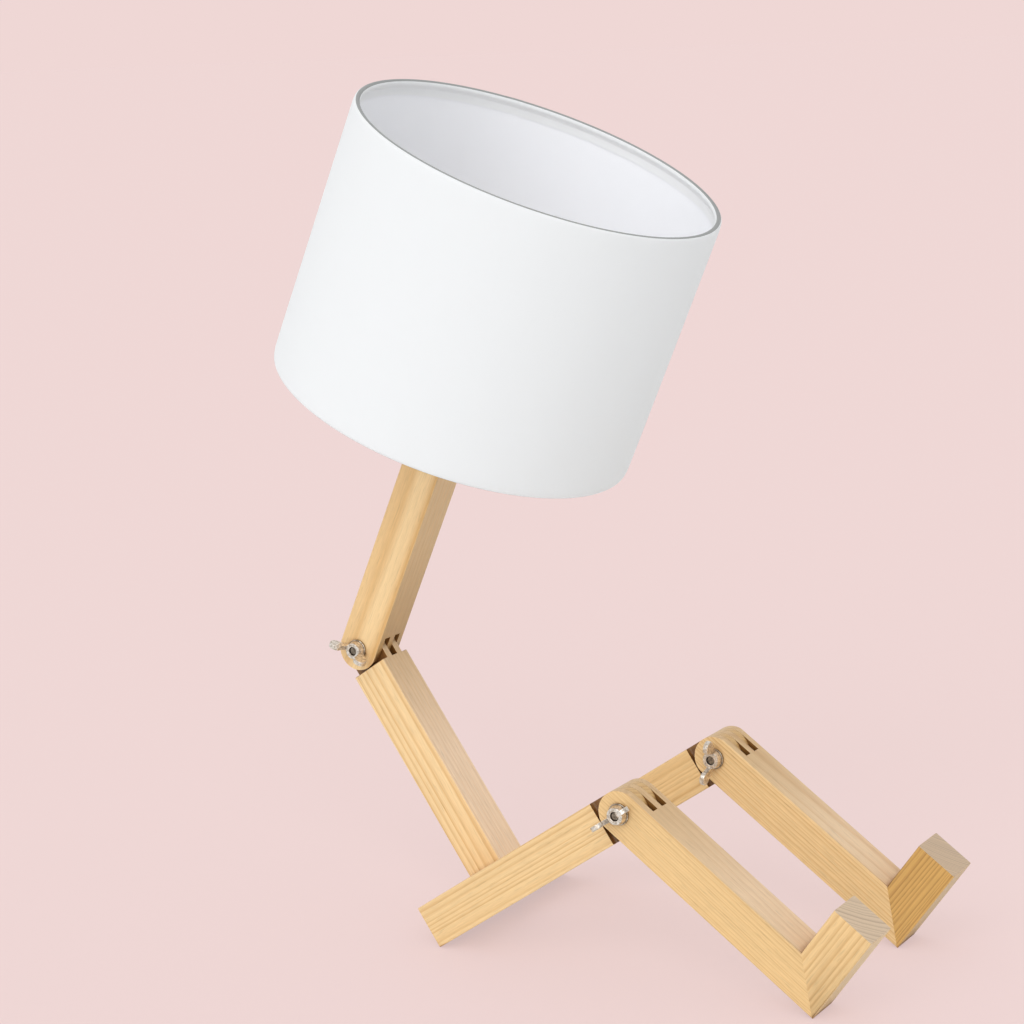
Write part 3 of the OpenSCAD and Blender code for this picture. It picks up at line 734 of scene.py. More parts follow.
# The cut end is bare steel, darkened further with painted shade of the hub round it
shaded_cut_end = plated("shaded cut bolt end", (0.34, 0.28, 0.22, 1), (0.15, 0.12, 0.09, 1), 0.45)
brass = plated("drawn brass", (0.86, 0.64, 0.30, 1), (0.70, 0.48, 0.20, 1), 0.26)
nickel = plated("bulb cap nickel", (0.78, 0.78, 0.77, 1), (0.66, 0.66, 0.66, 1), 0.22)
finish_solids(zinc, "zinc", "torso_screw", "nipple_washer", "cap_lock_screw")
finish_solids(brass, "brass", "holder_contact", "terminal_screws")
finish_solids(nickel, "bulb_metal", "bulb_contact")
print("metals ready")

# %% [markdown]
# ## Threads
# A thread is a ridge that climbs round a rod. Sculpting one by hand would take a profile
# swept along a spiral, which overlaps itself where turns meet. A rule is simpler: lay a grid
# round the rod and push each point in by an amount that depends on its height less its turn.
# Geometry Nodes do exactly that, and the same tree makes the bolts, the nipple and both
# halves of the large lamp screw, by changing its inputs.

# %% The thread tree
def combine(*parts):
    return add(tree_of(*parts), "ShaderNodeCombineXYZ", dict(enumerate(parts)))


def change(kind, shape, inputs=None):
    """Adds a node that changes a shape in a Geometry Nodes tree."""
    return add(shape.tree, "GeometryNode" + kind, {"Geometry": shape, **(inputs or {})})


thread_tree, given, result = new_group(
    "thread", "GeometryNodeTree",
    {"Radius": "Float", "Depth": "Float", "Pitch": "Float", "Length": "Float",
     "Roundness": "Float", "Around": "Int", "Along": "Int", "Material": "Material"},
    {"Geometry": "Geometry"},
)
wall = add(thread_tree, "GeometryNodeMeshGrid", {
    "Size X": 1.0, "Size Y": 1.0, "Vertices X": given["Around"], "Vertices Y": given["Along"],
})
u, v, _ = split(add(thread_tree, "GeometryNodeInputPosition"))
turn = u + 0.5
height = (v + 0.5) * given["Length"]
climb = calc("FRACT", height / given["Pitch"] - turn)
peak = abs(climb * 2.0 - 1.0)
wave = 0.5 - calc("COSINE", peak * math.pi) * 0.5
ridge = blend(given["Roundness"], peak, wave)
to_end = calc("MINIMUM", height, given["Length"] - height)
run_out = calc("DIVIDE", to_end, given["Pitch"], clamp=True)
radius = given["Radius"] - (1.0 - run_out * (1.0 - ridge)) * given["Depth"]
angle = turn * math.tau
spot = combine(radius * calc("COSINE", angle), radius * calc("SINE", angle), height)
wall = change("SetPosition", wall, {"Position": spot})
wall = change("MergeByDistance", wall, {"Distance": 0.001 * MM})
wall = change("RealizeInstances", change("SetShadeSmooth", wall))
wall = change("SetMaterial", wall, {"Material": given["Material"]})
fill(thread_tree, result, {"Geometry": wall})
print("thread tree:", len(thread_tree.nodes), "nodes")

# %% [markdown]
# A tree alone is no object. It is hung on an empty carrier, its inputs are set, and the mesh
# that comes out is kept as plain mesh. Each input has an identifier of its own, which stays
# right even when two inputs share a name, so the values go in by that.

# %% Grow a mesh from a tree
def grow(tree, values):
    """Runs a Geometry Nodes tree with the named inputs and returns the plain mesh."""
    carrier = put("carrier", bpy.data.meshes.new("carrier"))
    grower = carrier.modifiers.new("grow", "NODES")
    grower.node_group = tree
    sockets = {s.name: s.identifier for s in tree.interface.items_tree if s.in_out == "INPUT"}
    for title, value in values.items():
        grower[sockets[title]] = value
    carrier.data.update()
    mesh = bake(carrier)
    bpy.data.objects.remove(carrier)
    if mesh.materials and mesh.materials[0] is None:
        mesh.materials.pop(index=0)
    return mesh


def raised(height):
    return Matrix.Translation((0, 0, height))


print("grower ready")

# %% [markdown]
# ## Turned shapes
# Much of the hardware is turned on a lathe: bolt heads, the bulb and the cloth's rim. Each
# is a half outline carried once round an axis. A helper does it ring by ring, which keeps
# the seam closed and makes a point on the axis a real pole.

# %% The lathe
def face_outwards(shape):
    bmesh.ops.recalc_face_normals(shape, faces=shape.faces)


def open_rims(shape):
    return [edge for edge in shape.edges if edge.is_boundary]


def turned(profile, steps=96, closed=False):
    """A bmesh from (radius, height) points; a radius of 0 closes the shape at a pole."""
    shape = bmesh.new()
    rings = []
    for r, h in profile:
        angles = [math.tau * i / steps for i in range(steps if r > 0 else 1)]
        rings.append([shape.verts.new((r * math.cos(a), r * math.sin(a), h)) for a in angles])
    for lower, upper in zip(rings, rings[1:] + (rings[:1] if closed else [])):
        for i in range(steps):
            j = (i + 1) % steps
            corners = [lower[i % len(lower)], lower[j % len(lower)],
                       upper[j % len(upper)], upper[i % len(upper)]]
            face = list(dict.fromkeys(corners))
            if len(face) > 2:
                shape.faces.new(face)
    face_outwards(shape)
    return shape


def arc(centre, radius, start, end, steps):
    """Points of an arc in a half outline, angles in degrees."""
    angles = [math.radians(start + (end - start) * i / steps) for i in range(steps + 1)]
    return [
        (centre[0] + radius * math.cos(a), centre[1] + radius * math.sin(a)) for a in angles
    ]


def join(shape, other, matrix=Matrix()):
    """Moves a mesh or a second bmesh by a matrix and joins it to a bmesh; it is used up."""
    mesh = to_mesh(other) if isinstance(other, bmesh.types.BMesh) else other
    mesh.transform(matrix)
    shape.from_mesh(mesh)
    bpy.data.meshes.remove(mesh)


def fit_on_neck(name, shape, material, node, smooth_below=60):
    """Leans an upright shape with the neck and puts it in its solid's place."""
    shape.transform(neck)
    return settle(finished(name, shape, material, smooth_below), node)


print("lathe ready")

# %% [markdown]
# ## Clamping bolts
# Each joint is held by a coach bolt: a low domed head, a square neck that stops it turning,
# and a shank with an M5 thread under the wing nut. The solid is plain, so the bolt is made
# anew from a turned head and shank, a small square block and the thread tree. Its far end
# was cut off after plating, so that one face is bare steel, coloured darker with painted
# shade as it sits in the wing nut's hub.

# %% Make the bolts
M5_PITCH = 0.8 * MM
M5_DEPTH = 0.42 * MM
HEAD_RIM = 0.6 * MM
SQUARE_NECK = 3.0 * MM
CORE_START = 0.4 * MM
CUT_END = 0.05 * MM


def bolt_head(whole, rim_level):
    """The half outline of a domed head, from its pole to its rim."""
    height = rim_level - whole.low
    dome_r = (whole.outer ** 2 + height ** 2) / (2 * height)
    half_angle = math.degrees(math.asin(whole.outer / dome_r))
    dome = arc((0, whole.low + dome_r), dome_r, -90, -90 + half_angle, 10)
    return [(0, whole.low)] + dome[1:]


def make_bolt(clamp, place):
    """A bolt along its own frame's z, with the head on the low side of the stick."""
    node = clamp.format("bolt")
    whole = measure(node, place)
    shank_r = measure(node, place, above=0).outer
    half_stick = measure(clamp.format("washer"), place).low
    core_top = half_stick + CORE_START
    shape = turned(bolt_head(whole, -half_stick - HEAD_RIM) + [
        (whole.outer, -half_stick), (shank_r, -half_stick), (shank_r, half_stick),
        (shank_r - M5_DEPTH, core_top), (0, core_top),
    ], 64)
    block = bmesh.ops.create_cube(shape, size=1.0)["verts"]
    bmesh.ops.scale(shape, verts=block, vec=(2 * shank_r, 2 * shank_r, SQUARE_NECK))
    bmesh.ops.translate(shape, verts=block, vec=(0, 0, SQUARE_NECK / 2 - half_stick))
    length = whole.high - half_stick
    turns = length / M5_PITCH
    join(shape, grow(thread_tree, {
        "Radius": shank_r, "Depth": M5_DEPTH, "Pitch": M5_PITCH, "Length": length,
        "Roundness": 0.3, "Around": 48 + 1, "Along": int(turns * 12) + 1, "Material": zinc,
    }), raised(half_stick))
    bmesh.ops.holes_fill(shape, edges=open_rims(shape), sides=0)
    face_outwards(shape)
    shape.transform(place)
    piece = finished(node + "_threaded", shape, zinc, 35)
    # The far end's faces get the dark cut-end colour with its painted shade
    piece.data.materials.append(shaded_cut_end)
    into_frame = place.inverted()
    for face in piece.data.polygons:
        if (into_frame @ face.center).z > whole.high - CUT_END:
            face.material_index = 1
    settle(piece, node)
    print(node, "head mm:", round(2 * whole.outer / MM, 1), "thread turns:", round(turns, 1))


for clamp, place in clamp_frames.items():
    make_bolt(clamp, place)

# %% [markdown]
# ## Wing nuts and washers
# A wing nut is a casting: its wings flow into the hub with soft fillets that a solid made of
# plain shapes lacks. Rounding every edge would need each crossing solved by hand. Melting
# the shape is easier: a fine voxel remesh joins it, and a few rounds of smoothing leave the
# soft corners of a casting. The stamped washers only need their edges rolled.

# %% Make the wing nuts
VOXEL = 0.2 * MM


def cast(node):
    """A copy of a solid, melted together and softened."""
    piece = put(node + "_cast", to_mesh(welded(node)))
    melt = piece.modifiers.new("melt", "REMESH")
    melt.mode = "VOXEL"
    melt.voxel_size = VOXEL
    melt.use_smooth_shade = True
    soften = piece.modifiers.new("soften", "SMOOTH")
    soften.factor = 0.5
    soften.iterations = 4
    mesh = bake(piece)
    mesh.materials.clear()
    mesh.materials.append(cast_zinc)
    settle(piece, node)
    print(piece.name, "faces:", len(mesh.polygons))


for clamp in CLAMPS:
    cast(clamp.format("wing_nut"))

# %% Make the washers and the nipple's nut
def eased_piece(node, ending, width, material, sharper_than=40):
    """A copy of a solid with its edges rounded; its name gets an ending."""
    shape = welded(node)
    ease(shape, width, 3, sharper_than)
    settle(finished(node + ending, shape, material), node)


for clamp in CLAMPS:
    eased_piece(clamp.format("washer"), "_stamped", 0.25 * MM, zinc)
eased_piece("nipple_locknut", "_hex", 0.35 * MM, zinc)
print("small metal parts ready")

# %% [markdown]
# ## Threaded nipple
# The holder stands on a short threaded tube. Outside it is the thread tree again, inside it
# is a plain bore, and two flat rings join them at the ends.

# %% Make the nipple
NIPPLE_PITCH = 1.0 * MM
NIPPLE_DEPTH = 0.5 * MM
SAME_LEVEL = 0.001 * MM
nipple = measure("threaded_nipple")
nipple_length = nipple.high - nipple.low

shape = bmesh.new()
join(shape, grow(thread_tree, {
    "Radius": nipple.outer, "Depth": NIPPLE_DEPTH, "Pitch": NIPPLE_PITCH,
    "Length": nipple_length, "Roundness": 0.3, "Around": 64 + 1,
    "Along": int(nipple_length / NIPPLE_PITCH * 10) + 1, "Material": zinc,
}), raised(nipple.low))
join(shape, turned([(nipple.inner, nipple.low), (nipple.inner, nipple.high)], 64))
rims = open_rims(shape)
for level in (nipple.low, nipple.high):
    ring = [edge for edge in rims if abs(edge.verts[0].co.z - level) < SAME_LEVEL]
    bmesh.ops.bridge_loops(shape, edges=ring)
face_outwards(shape)
fit_on_neck("threaded_nipple_cut", shape, zinc, "threaded_nipple", 35)
print("nipple length mm:", round(nipple_length / MM, 1))

# %% [markdown]
# ## Grommet, holder and shade ring
# These are moulded: black rubber round the cable's way in, and a white plastic holder with
# a shade ring. Moulded plastic has small radii, a satin skin and the faintest orange peel.

# %% Plastics, rubber and glaze
def moulded(name, colour, roughness, peel=0.02 * MM, peel_scale=900, coat=0.0):
    """A satin skin of one colour; peel is the depth of its orange peel."""
    darker = [c * 0.93 for c in colour[:3]] + [1]
    material, tree, shader = mottled(name, colour, darker, 60, 3, roughness - 0.06, 0.12)
    fill(tree, shader, {
        "Normal": bump(noise(object_position(tree), peel_scale), 0.3, peel),
        "Coat Weight": coat, "Coat Roughness": 0.08,
    })
    return material


rubber = moulded("black rubber", (0.035, 0.034, 0.033, 1), 0.62)
holder_plastic = moulded("white holder plastic", (0.83, 0.83, 0.81, 1), 0.38)
ceramic = moulded("glazed ceramic", (0.84, 0.82, 0.76, 1), 0.30, coat=0.8)
bulb_plastic = moulded("white bulb plastic", (0.84, 0.85, 0.85, 1), 0.42)
black_glass = moulded("black glass", (0.02, 0.02, 0.024, 1), 0.15, coat=0.6)
powder_coat = moulded("white powder coat", (0.80, 0.80, 0.79, 1), 0.45, 0.04 * MM, 2600)
solder_mask = moulded("white solder mask", (0.82, 0.83, 0.82, 1), 0.35)
eased_piece("cable_grommet", "_moulded", 0.5 * MM, rubber)
for node in ("holder_cap", "shade_ring"):
    eased_piece(node, "_moulded", 0.3 * MM, holder_plastic)
eased_piece("holder_insert", "_glazed", 0.5 * MM, ceramic)
eased_piece("shade_spider", "_coated", 0.3 * MM, powder_coat)
finish_solids(powder_coat, "shade_wire", "shade_bottom_ring", "shade_top_ring")
finish_solids(black_glass, "bulb_insulator", "bulb_insulator")
print("moulded parts ready")

# %% [markdown]
# The holder's shell has upright grip ribs below its flange, which a hand turns. Forty ribs
# placed by hand would be forty chances for a slip. Geometry Nodes put one soft rib on each
# point of a circle and turn it to face outwards.

# %% Grip ribs on the holder's shell
def on_ring(given, shape):
    """Puts a shape on each point of a circle, facing outwards, and makes real mesh of it."""
    tree = shape.tree
    ring = add(tree, "GeometryNodeMeshCircle",
               {"Vertices": given["Count"], "Radius": given["Radius"]})
    outward = add(tree, "FunctionNodeAlignRotationToVector",
                  {"Vector": add(tree, "GeometryNodeInputPosition")}, axis="X", pivot_axis="Z")
    copies = add(tree, "GeometryNodeInstanceOnPoints",
                 {"Points": ring, "Instance": shape, "Rotation": outward})
    return change("RealizeInstances", copies)


rib_tree, given, result = new_group(
    "grip ribs", "GeometryNodeTree",
    {"Count": "Int", "Radius": "Float", "Height": "Float", "Width": "Float",
     "Proud": "Float", "Material": "Material"},
    {"Geometry": "Geometry"},
)
rib = add(rib_tree, "GeometryNodeMeshUVSphere", {"Segments": 10, "Rings": 8, "Radius": 0.5})
rib_size = combine(given["Proud"] * 2.0, given["Width"], given["Height"])
ribs = on_ring(given, change("Transform", rib, {"Scale": rib_size}))
ribs = change("SetMaterial", change("SetShadeSmooth", ribs), {"Material": given["Material"]})
fill(rib_tree, result, {"Geometry": ribs})

RIBS = 40
RIB_WIDTH = 1.5 * MM
RIB_PROUD = 0.5 * MM
GRIP_BAND = 7.0 * MM
GRIP_START = 0.4 * MM
grip_r = measure("holder_cap").outer
grip_middle = measure("holder_shell").low + GRIP_BAND / 2 + GRIP_START
shape = welded("holder_shell")
ease(shape, 0.3 * MM, 3)
join(shape, grow(rib_tree, {
    "Count": RIBS, "Radius": grip_r, "Height": GRIP_BAND, "Width": RIB_WIDTH,
    "Proud": RIB_PROUD, "Material": holder_plastic,
}), neck @ raised(grip_middle))
settle(finished("holder_shell_ribbed", shape, holder_plastic), "holder_shell")
print("ribs round a radius of mm:", round(grip_r / MM, 1))

# %% [markdown]
# ## The large lamp screw
# The bulb's cap and the holder's shell are the two halves of a coarse, rounded thread, pressed
# from thin sheet. The thread tree gives the wall, Solidify the sheet's thickness, and plain
# turned collars join on above and below.

# %% Make both halves of the lamp screw
LAMP_PITCH = 3.63 * MM
LAMP_TURNS = 5
LAMP_DEPTH = 1.0 * MM
SHEET_T = 0.4 * MM
LOW_RIM = 0.2 * MM


def screw_sheet(node, ending, material, high_rim):
    """A threaded sleeve of sheet metal, with a plain collar below and above."""
    size = measure(node)
    length = LAMP_PITCH * LAMP_TURNS
    start, low = size.high - length - high_rim, size.low + LOW_RIM
    root = size.outer - LAMP_DEPTH
    shape = bmesh.new()
    join(shape, grow(thread_tree, {
        "Radius": size.outer, "Depth": LAMP_DEPTH, "Pitch": LAMP_PITCH, "Length": length,
        "Roundness": 1.0, "Around": 96 + 1, "Along": 12 * LAMP_TURNS + 1, "Material": material,
    }), raised(start))
    for collar in ([(root, start), (root, low), (size.inner, low)],
                   [(root, start + length), (root, size.high)]):
        join(shape, turned(collar))
    bmesh.ops.remove_doubles(shape, verts=shape.verts, dist=0.01 * MM)
    face_outwards(shape)
    sheet = put("sheet", to_mesh(shape))
    wall = sheet.modifiers.new("thickness", "SOLIDIFY")
    wall.thickness = SHEET_T
    wall.offset = -1
    thick = bake(sheet)
    bpy.data.objects.remove(sheet)
    shape = bmesh.new()
    join(shape, thick)
    piece = fit_on_neck(node + ending, shape, material, node)
    print(piece.name, "faces:", len(piece.data.polygons))


screw_sheet("bulb_cap", "_threaded", nickel, 1.0 * MM)
screw_sheet("holder_screw_shell", "_rolled", brass, SHEET_T)

# %% [markdown]
# ## Bulb
# An opal dome sits on a white trumpet-shaped body that carries the light board. The dome is
# turned, and its plastic lets light through and scatters it, so it mixes a satin surface
# with a translucent one.

# %% Make the housing and the dome
def mix_surface(tree, shader, share, second):
    """Mixes a second shader into a material's surface."""
    first = Wire(tree, shader.outputs[0])
    mixed = add(tree, "ShaderNodeMixShader", {0: share, 1: first, 2: second})
    fill(tree, tree.nodes["Material Output"], {"Surface": mixed})


def let_light_through(tree, shader, share, colour):
    mix_surface(tree, shader, share, add(tree, "ShaderNodeBsdfTranslucent", {"Color": colour}))


opal, tree, shader = mottled("opal diffuser", (0.88, 0.88, 0.87, 1), (0.84, 0.85, 0.85, 1),
                             40, 2, 0.30, 0.1)
let_light_through(tree, shader, 0.35, (0.86, 0.86, 0.84, 1))

DOME_WALL = 1.4 * MM
RIM_SLANT = 1.5
dome = measure("bulb_dome")
dome_middle = dome.high - dome.outer
foot_angle = math.degrees(math.asin((dome.low - dome_middle) / dome.outer))
outside = arc((0, dome_middle), dome.outer, foot_angle, 90, 40)
inside = arc((0, dome_middle), dome.outer - DOME_WALL, 90, foot_angle + RIM_SLANT, 40)
outside[-1], inside[0] = (0, dome.high), (0, dome.high - DOME_WALL)
shape = turned(outside)
join(shape, turned(inside))
bmesh.ops.bridge_loops(shape, edges=open_rims(shape))
face_outwards(shape)
fit_on_neck("bulb_dome_opal", shape, opal, "bulb_dome")
eased_piece("bulb_housing", "_moulded", 0.3 * MM, bulb_plastic, 50)
print("dome radius mm:", round(dome.outer / MM, 1))

# %% [markdown]
# The light board carries two rings of small lamps: a white package with a yellow spot. They
# repeat, so Geometry Nodes set one package on each point of a circle.

# %% The light packages
SPOT_R = 0.38
SPOT_H = 1.15
phosphor, _, _ = mottled("yellow phosphor", (0.80, 0.62, 0.10, 1), (0.88, 0.74, 0.22, 1),
                         4000, 2, 0.35)
chip_tree, given, result = new_group(
    "light packages", "GeometryNodeTree",
    {"Count": "Int", "Radius": "Float", "Side": "Float", "Thickness": "Float",
     "Package": "Material", "Spot": "Material"},
    {"Geometry": "Geometry"},
)
package = add(chip_tree, "GeometryNodeMeshCube",
              {"Size": combine(given["Side"], given["Side"], given["Thickness"])})
spot = add(chip_tree, "GeometryNodeMeshCylinder", {
    "Vertices": 20, "Radius": given["Side"] * SPOT_R, "Depth": given["Thickness"] * SPOT_H,
})
both = chip_tree.nodes.new("GeometryNodeJoinGeometry")
for part, title in ((package, "Package"), (spot, "Spot")):
    fill(chip_tree, both, {0: change("SetMaterial", part, {"Material": given[title]})})
chips = on_ring(given, Wire(chip_tree, both.outputs[0]))
fill(chip_tree, result, {"Geometry": chips})
print("package tree:", len(chip_tree.nodes), "nodes")

# %% Fit the light board
CHIP_SIDE = 2.8 * MM
CHIP_H = 0.7 * MM
# How many packages stand in a ring, and its radius as a share of the board's
CHIP_RINGS = {12: 0.72, 6: 0.38}

board = measure("bulb_led_board")
shape = welded("bulb_led_board")
ease(shape, 0.15 * MM)
parts = [put("bulb_led_board_fitted", to_mesh(shape, "bulb_led_board_fitted"))]
parts[0].data.materials.append(solder_mask)
for count, share in CHIP_RINGS.items():
    ring_mesh = grow(chip_tree, {
        "Count": count, "Radius": share * board.outer, "Side": CHIP_SIDE, "Thickness": CHIP_H,
        "Package": solder_mask, "Spot": phosphor,
    })
    ring_mesh.transform(neck @ raised(board.high + CHIP_H / 2))
    parts.append(put("light packages", ring_mesh))
with bpy.context.temp_override(active_object=parts[0], selected_editable_objects=parts):
    bpy.ops.object.join()
settle(parts[0], "bulb_led_board")
print("light packages:", sum(CHIP_RINGS), "on", [m.name for m in parts[0].data.materials])

# %% [markdown]
# ## Shade
# A drum shade is cloth glued on a stiff liner, with its edges rolled round two rim wires. It
# could be a plain tube, but the rolled rims are what make it read as cloth. So the cloth is
# one strip with a cross-section: up the wall, over the wire and tucked in behind it, at both
# ends. The strip is carried round the drum in rings, which gives each point a place on the
# flat cloth, and a lapped seam at the back is a step in its radius.

# %% The section of the cloth
CLOTH_T = 0.45 * MM
CLEAR = 0.06 * MM
TUCK = 45
TAIL = 4 * MM
WALL_ROWS = 24
# Near a wire the wall swings out from the hem to the liner: (height, share of the way out)
SWING = [(0.8 * MM, 0.4), (2.2 * MM, 1.0)]

liner = measure("shade_liner")
top_ring, low_ring = measure("shade_top_ring"), measure("shade_bottom_ring")
wire_ring_r = (top_ring.outer + top_ring.inner) / 2
roll_r = (top_ring.high - top_ring.low) / 2 + CLEAR + CLOTH_T / 2
wall_r = liner.outer + CLEAR + CLOTH_T / 2
glued_r = liner.inner - CLEAR - CLOTH_T / 2
top_level, low_level = ((ring.high + ring.low) / 2 for ring in (top_ring, low_ring))
low_roll = arc((wire_ring_r, low_level), roll_r, 180 - TUCK, 360, 20)
top_roll = arc((wire_ring_r, top_level), roll_r, 0, 180 + TUCK, 20)


def wall_points():
    """The wall between the two wires."""
    hem_r = wire_ring_r + roll_r
    low = [(hem_r + (wall_r - hem_r) * share, low_level + rise) for rise, share in SWING]
    high = [(r, low_level + top_level - h) for r, h in reversed(low)]
    span = (high[0][1] - low[-1][1]) / WALL_ROWS
    return low + [(wall_r, low[-1][1] + span * i) for i in range(1, WALL_ROWS)] + high


def tail(last, way):
    """The cut end of the cloth: it slants out to the liner and lies flat on it."""
    slant = glued_r - last[0]
    return [(last[0] + slant * 0.5, last[1] + way * slant * 0.55),
            (glued_r - 0.02 * slant, last[1] + way * slant * 1.25),
            (glued_r, last[1] + way * slant * 1.5),
            (glued_r, last[1] + way * (slant * 1.5 + TAIL))]


low_tail, top_tail = tail(low_roll[0], 1)[::-1], tail(top_roll[-1], -1)
section = [Vector(p) for p in low_tail + low_roll + wall_points() + top_roll + top_tail]
along_cloth = [0.0]
for here, following in zip(section, section[1:]):
    along_cloth.append(along_cloth[-1] + (following - here).length)
cut_length = along_cloth[-1]
print("cut length mm:", round(cut_length / MM, 1))

# %% [markdown]
# Cloth has two faces, so the section is laid twice, half a thickness to each side. At the
# seam one end of the strip lies on the other: the outer face steps up and slopes back, and
# the rings get extra points there to keep the step crisp. A hand-made drum is never quite
# round, so the wall also has a slow ripple of a few hundredths of a millimetre.

# %% Places round the drum
DRUM_STEPS = 240
SEAM_AT = math.radians(38)
STEP_WIDTH = 0.0034
SLOPE_WIDTH = 0.05
LAP = 11 * MM
LAP_STEP = 0.30 * MM
RIPPLE = 0.04 * MM
RIPPLE_FADE = 20 * MM

seam_end = SEAM_AT + LAP / wall_r
seam = (SEAM_AT - STEP_WIDTH, SEAM_AT, seam_end - SLOPE_WIDTH, seam_end)
even = (math.tau * i / DRUM_STEPS for i in range(DRUM_STEPS))
around = sorted({round(a, 6) for a in (*even, *seam)})
across_cloth = [a * wall_r for a in around + [math.tau]]


def lap_height(a):
    """How far the seam's upper layer stands proud at an angle."""
    past = (a - SEAM_AT) * wall_r
    if past < 0 or past > LAP:
        return 0.0
    return LAP_STEP * min(1.0, (LAP - past) / (0.5 * LAP))


def ripple(a, h):
    """Slow hand-laid unevenness of the wall, which fades out at the wires."""
    fade = min(1.0, abs(h - top_level) / RIPPLE_FADE, abs(h - low_level) / RIPPLE_FADE)
    return fade * RIPPLE * (2 + math.sin(5 * a + 31 * h) + math.sin(13 * a - 17 * h + 1.3))


print("rings of the drum:", len(section), "points in a ring:", len(around))

# %% Lay both faces of the cloth
def skin(side):
    """The rings of points of the cloth's outer face (side 1) or inner face (side -1)."""
    rings = []
    for k, (r, h) in enumerate(section):
        run = section[min(k + 1, len(section) - 1)] - section[max(k - 1, 0)]
        out = Vector((run.y, -run.x)).normalized() * CLOTH_T / 2 * side
        ring = []
        for a in around:
            far = r + out.x + ripple(a, h) + (lap_height(a) if side > 0 else 0.0)
            ring.append(cloth.verts.new((far * math.cos(a), far * math.sin(a), h + out.y)))
        rings.append(ring)
    return rings


def lay_strip(lower, upper, v_low, v_high):
    """Faces between two rings of points, with their places on the flat cloth."""
    for i, (u_left, u_right) in enumerate(zip(across_cloth, across_cloth[1:])):
        j = (i + 1) % len(around)
        face = cloth.faces.new([lower[i], lower[j], upper[j], upper[i]])
        places = [(u_left, v_low), (u_right, v_low), (u_right, v_high), (u_left, v_high)]
        for loop, place in zip(face.loops, places):
            loop[uv].uv = place


cloth = bmesh.new()
uv = cloth.loops.layers.uv.new("cloth")
skins = [skin(1), skin(-1)]
for rings in skins:
    for k in range(len(rings) - 1):
        lay_strip(rings[k], rings[k + 1], along_cloth[k], along_cloth[k + 1])
for k in (0, -1):
    lay_strip(skins[0][k], skins[1][k], along_cloth[k], along_cloth[k])
face_outwards(cloth)
print("cloth faces:", len(cloth.faces))

# %% [markdown]
# The cloth is a plain cotton weave. Threads cross over and under each other like a draught
# board, so the weave has two rows of half rounds, and each square shows the one that lies on
# top. It follows the cloth's own flat coordinates, and a few thicker threads run each way.
# White cloth on a white liner lets part of the light through. A grey edging runs along the
# crest of both hems, so it is a stripe in the same flat coordinates.

# %% Weave the cloth
THREAD = 0.55 * MM
TAPE = 2.3 * MM
TAPE_INWARD = 0.2 * MM
SLUBS_UP, SLUBS_ACROSS = (620, 12, 1), (10, 560, 1)
COOL_WHITE, BRIGHT_WHITE = (0.945, 0.950, 0.958, 1), (0.99, 0.99, 0.99, 1)
GREY_TAPE = (0.35, 0.355, 0.35, 1)
WHITE_LIGHT = (0.93, 0.94, 0.95, 1)

weave, tree, shader = new_material("white cotton weave")
flat = add(tree, "ShaderNodeUVMap", uv_map="cloth")
across, along, _ = split(flat)
warp, weft = (calc("SINE", way * (math.pi / THREAD)) for way in (across, along))
woven = blend(warp * weft > 0.0, abs(warp), abs(weft))
slubs = (noise(stretch(flat, SLUBS_UP), 1.0) + noise(stretch(flat, SLUBS_ACROSS), 1.0)) * 0.5
cotton = blend_colour(slubs * 0.10 + woven * 0.05, COOL_WHITE, BRIGHT_WHITE)
crest = along_cloth[len(low_tail)] + roll_r * math.radians(90 + TUCK)
edging = calc("MAXIMUM", *(
    calc("COMPARE", along, line, TAPE / 2)
    for line in (crest - TAPE_INWARD, cut_length - crest + TAPE_INWARD)
))
fill(tree, shader, {
    "Base Color": blend_colour(edging, cotton, GREY_TAPE),
    "Roughness": slubs * 0.15 + 0.80,
    "Specular IOR Level": 0.25, "Sheen Weight": 0.15, "Sheen Roughness": 0.5,
    "Normal": bump(woven + slubs * 0.6, 0.5, 0.05 * MM),
})
let_light_through(tree, shader, 0.16, WHITE_LIGHT)

drum = fit_on_neck("shade_cloth", cloth, weave, "shade_fabric")

# %% [markdown]
# The liner is a sheet of white styrene behind the cloth. It is smooth and lets a little light
# through, with a satin gloss that shows as a soft gradient inside the drum. Its cut edges
# catch the light, so its outline gets small rounds.

# %% Roll the liner
LINER_EDGE = 0.12 * MM


def eased_outline(points, radius, steps=2):
    """A closed half outline with each corner rounded by a small curve."""
    corners = [Vector(p) for p in points]
    eased_points = []
    for i, corner in enumerate(corners):
        start, end = (
            corner + (other - corner).normalized() * radius
            for other in (corners[i - 1], corners[(i + 1) % len(corners)])
        )
        for t in (k / steps for k in range(steps + 1)):
            eased_points.append(start * (1 - t) ** 2 + corner * 2 * t * (1 - t) + end * t ** 2)
    return eased_points


styrene, tree, shader = mottled("white styrene liner", (0.948, 0.953, 0.981, 1),
                                (0.928, 0.932, 0.963, 1), 25, 2, 0.48, 0.1)
let_light_through(tree, shader, 0.05, WHITE_LIGHT)
outline = eased_outline([(liner.inner, liner.low), (liner.outer, liner.low),
                         (liner.outer, liner.high), (liner.inner, liner.high)], LINER_EDGE)
fit_on_neck("shade_liner_rolled", turned(outline, DRUM_STEPS, closed=True), styrene,
            "shade_liner")
print("liner radius mm:", round(liner.outer / MM, 1))

# %% [markdown]
# ## Studio
# The lamp stands in an almost even light. One very wide sun stands for a large soft box on
# the figure's right side, which leaves its front in a mild half shade. The sky fills the rest.
# Plated metal mirrors the sky, so it isn't one flat white: it is bright overhead and behind
# the figure and dim on the camera's side. The camera sees a pale pink floor and wall, but
# pink light from them would stain the white shade, so what bounces up is a neutral grey.

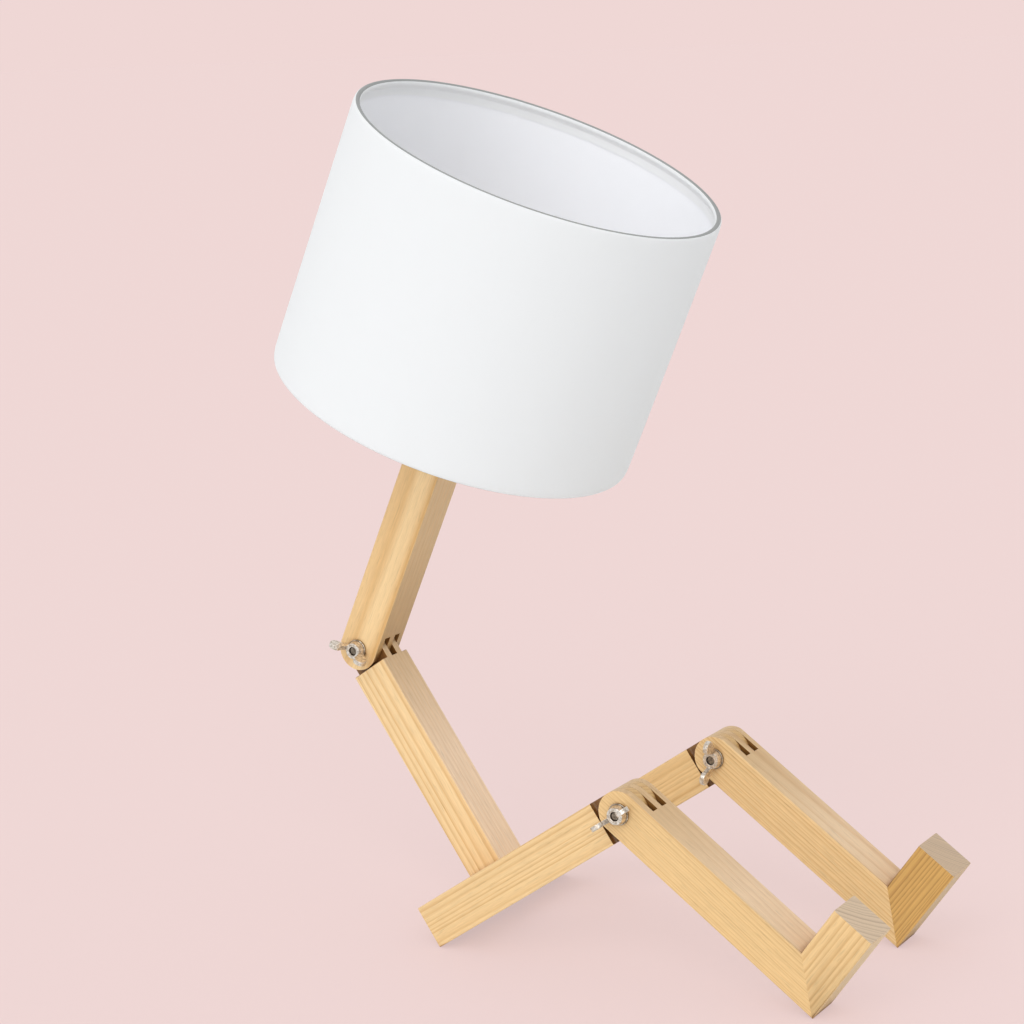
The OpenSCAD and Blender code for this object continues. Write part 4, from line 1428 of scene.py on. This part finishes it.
# %% Floor
PINK = (0.863, 0.680, 0.665, 1)
FLOOR_LEVEL = 1.045
FLOOR_BOUNCE = (0.87, 0.87, 0.87, 1)
SHADOW_FILL = 0.65
FLOOR_GAP = 0.2 * MM

matt, tree, shader = new_material("matt floor")
seen = add(tree, "ShaderNodeLightPath")
floor_pink = [c / FLOOR_LEVEL for c in PINK[:3]] + [1]
fill(tree, shader, {
    "Base Color": blend_colour(seen, FLOOR_BOUNCE, floor_pink),
    "Roughness": 1.0, "Specular IOR Level": 0.0,
})
mix_surface(tree, shader, seen * SHADOW_FILL, add(tree, "ShaderNodeEmission", {"Color": PINK}))

shape = bmesh.new()
bmesh.ops.create_circle(shape, cap_ends=True, segments=96, radius=40.0)
floor = put("floor", to_mesh(shape, "floor"))
floor.location.z = cad_box[0][2] - FLOOR_GAP
floor.data.materials.append(matt)
print("floor at mm:", round(floor.location.z / MM, 2))

# %% Light and sky
CAMERA_SIDE, FAR_SIDE, OVERHEAD = 0.27, 1.12, 0.92
sun_data = bpy.data.lights.new("soft box", "SUN")
sun_data.angle = math.radians(64)
sun_data.energy = 1.38
sun = put("soft box", sun_data)
sun.rotation_euler = toward(284, 31).to_track_quat("Z", "Y").to_euler()

world = bpy.data.worlds.new("sky")
bpy.context.scene.world = world
world.use_nodes = True
tree = world.node_tree
tree.nodes.clear()
direction = add(tree, "ShaderNodeTexCoord")
toward_far = 0.5 - dot(direction, toward_camera) * 0.5
low_sky = toward_far * (FAR_SIDE - CAMERA_SIDE) + CAMERA_SIDE
high = calc("MAXIMUM", split(direction)[2], 0.0)
lit = add(tree, "ShaderNodeBackground",
          {"Color": (0.985, 0.995, 1.0, 1), "Strength": blend(high, low_sky, OVERHEAD)})
seen = add(tree, "ShaderNodeBackground", {"Color": PINK, "Strength": 1.0})
camera_ray = add(tree, "ShaderNodeLightPath")
sky = add(tree, "ShaderNodeMixShader", {0: camera_ray, 1: lit, 2: seen})
fill(tree, tree.nodes.new("ShaderNodeOutputWorld"), {0: sky})
bpy.context.scene.view_settings.view_transform = "Standard"
print("studio ready")

# %% [markdown]
# ## The solids' box
# The box round the solids, found before any piece was dressed, is printed.

# %% Print the solids' box
print("solids' box:", [[round(c, 4) for c in corner] for corner in cad_box])
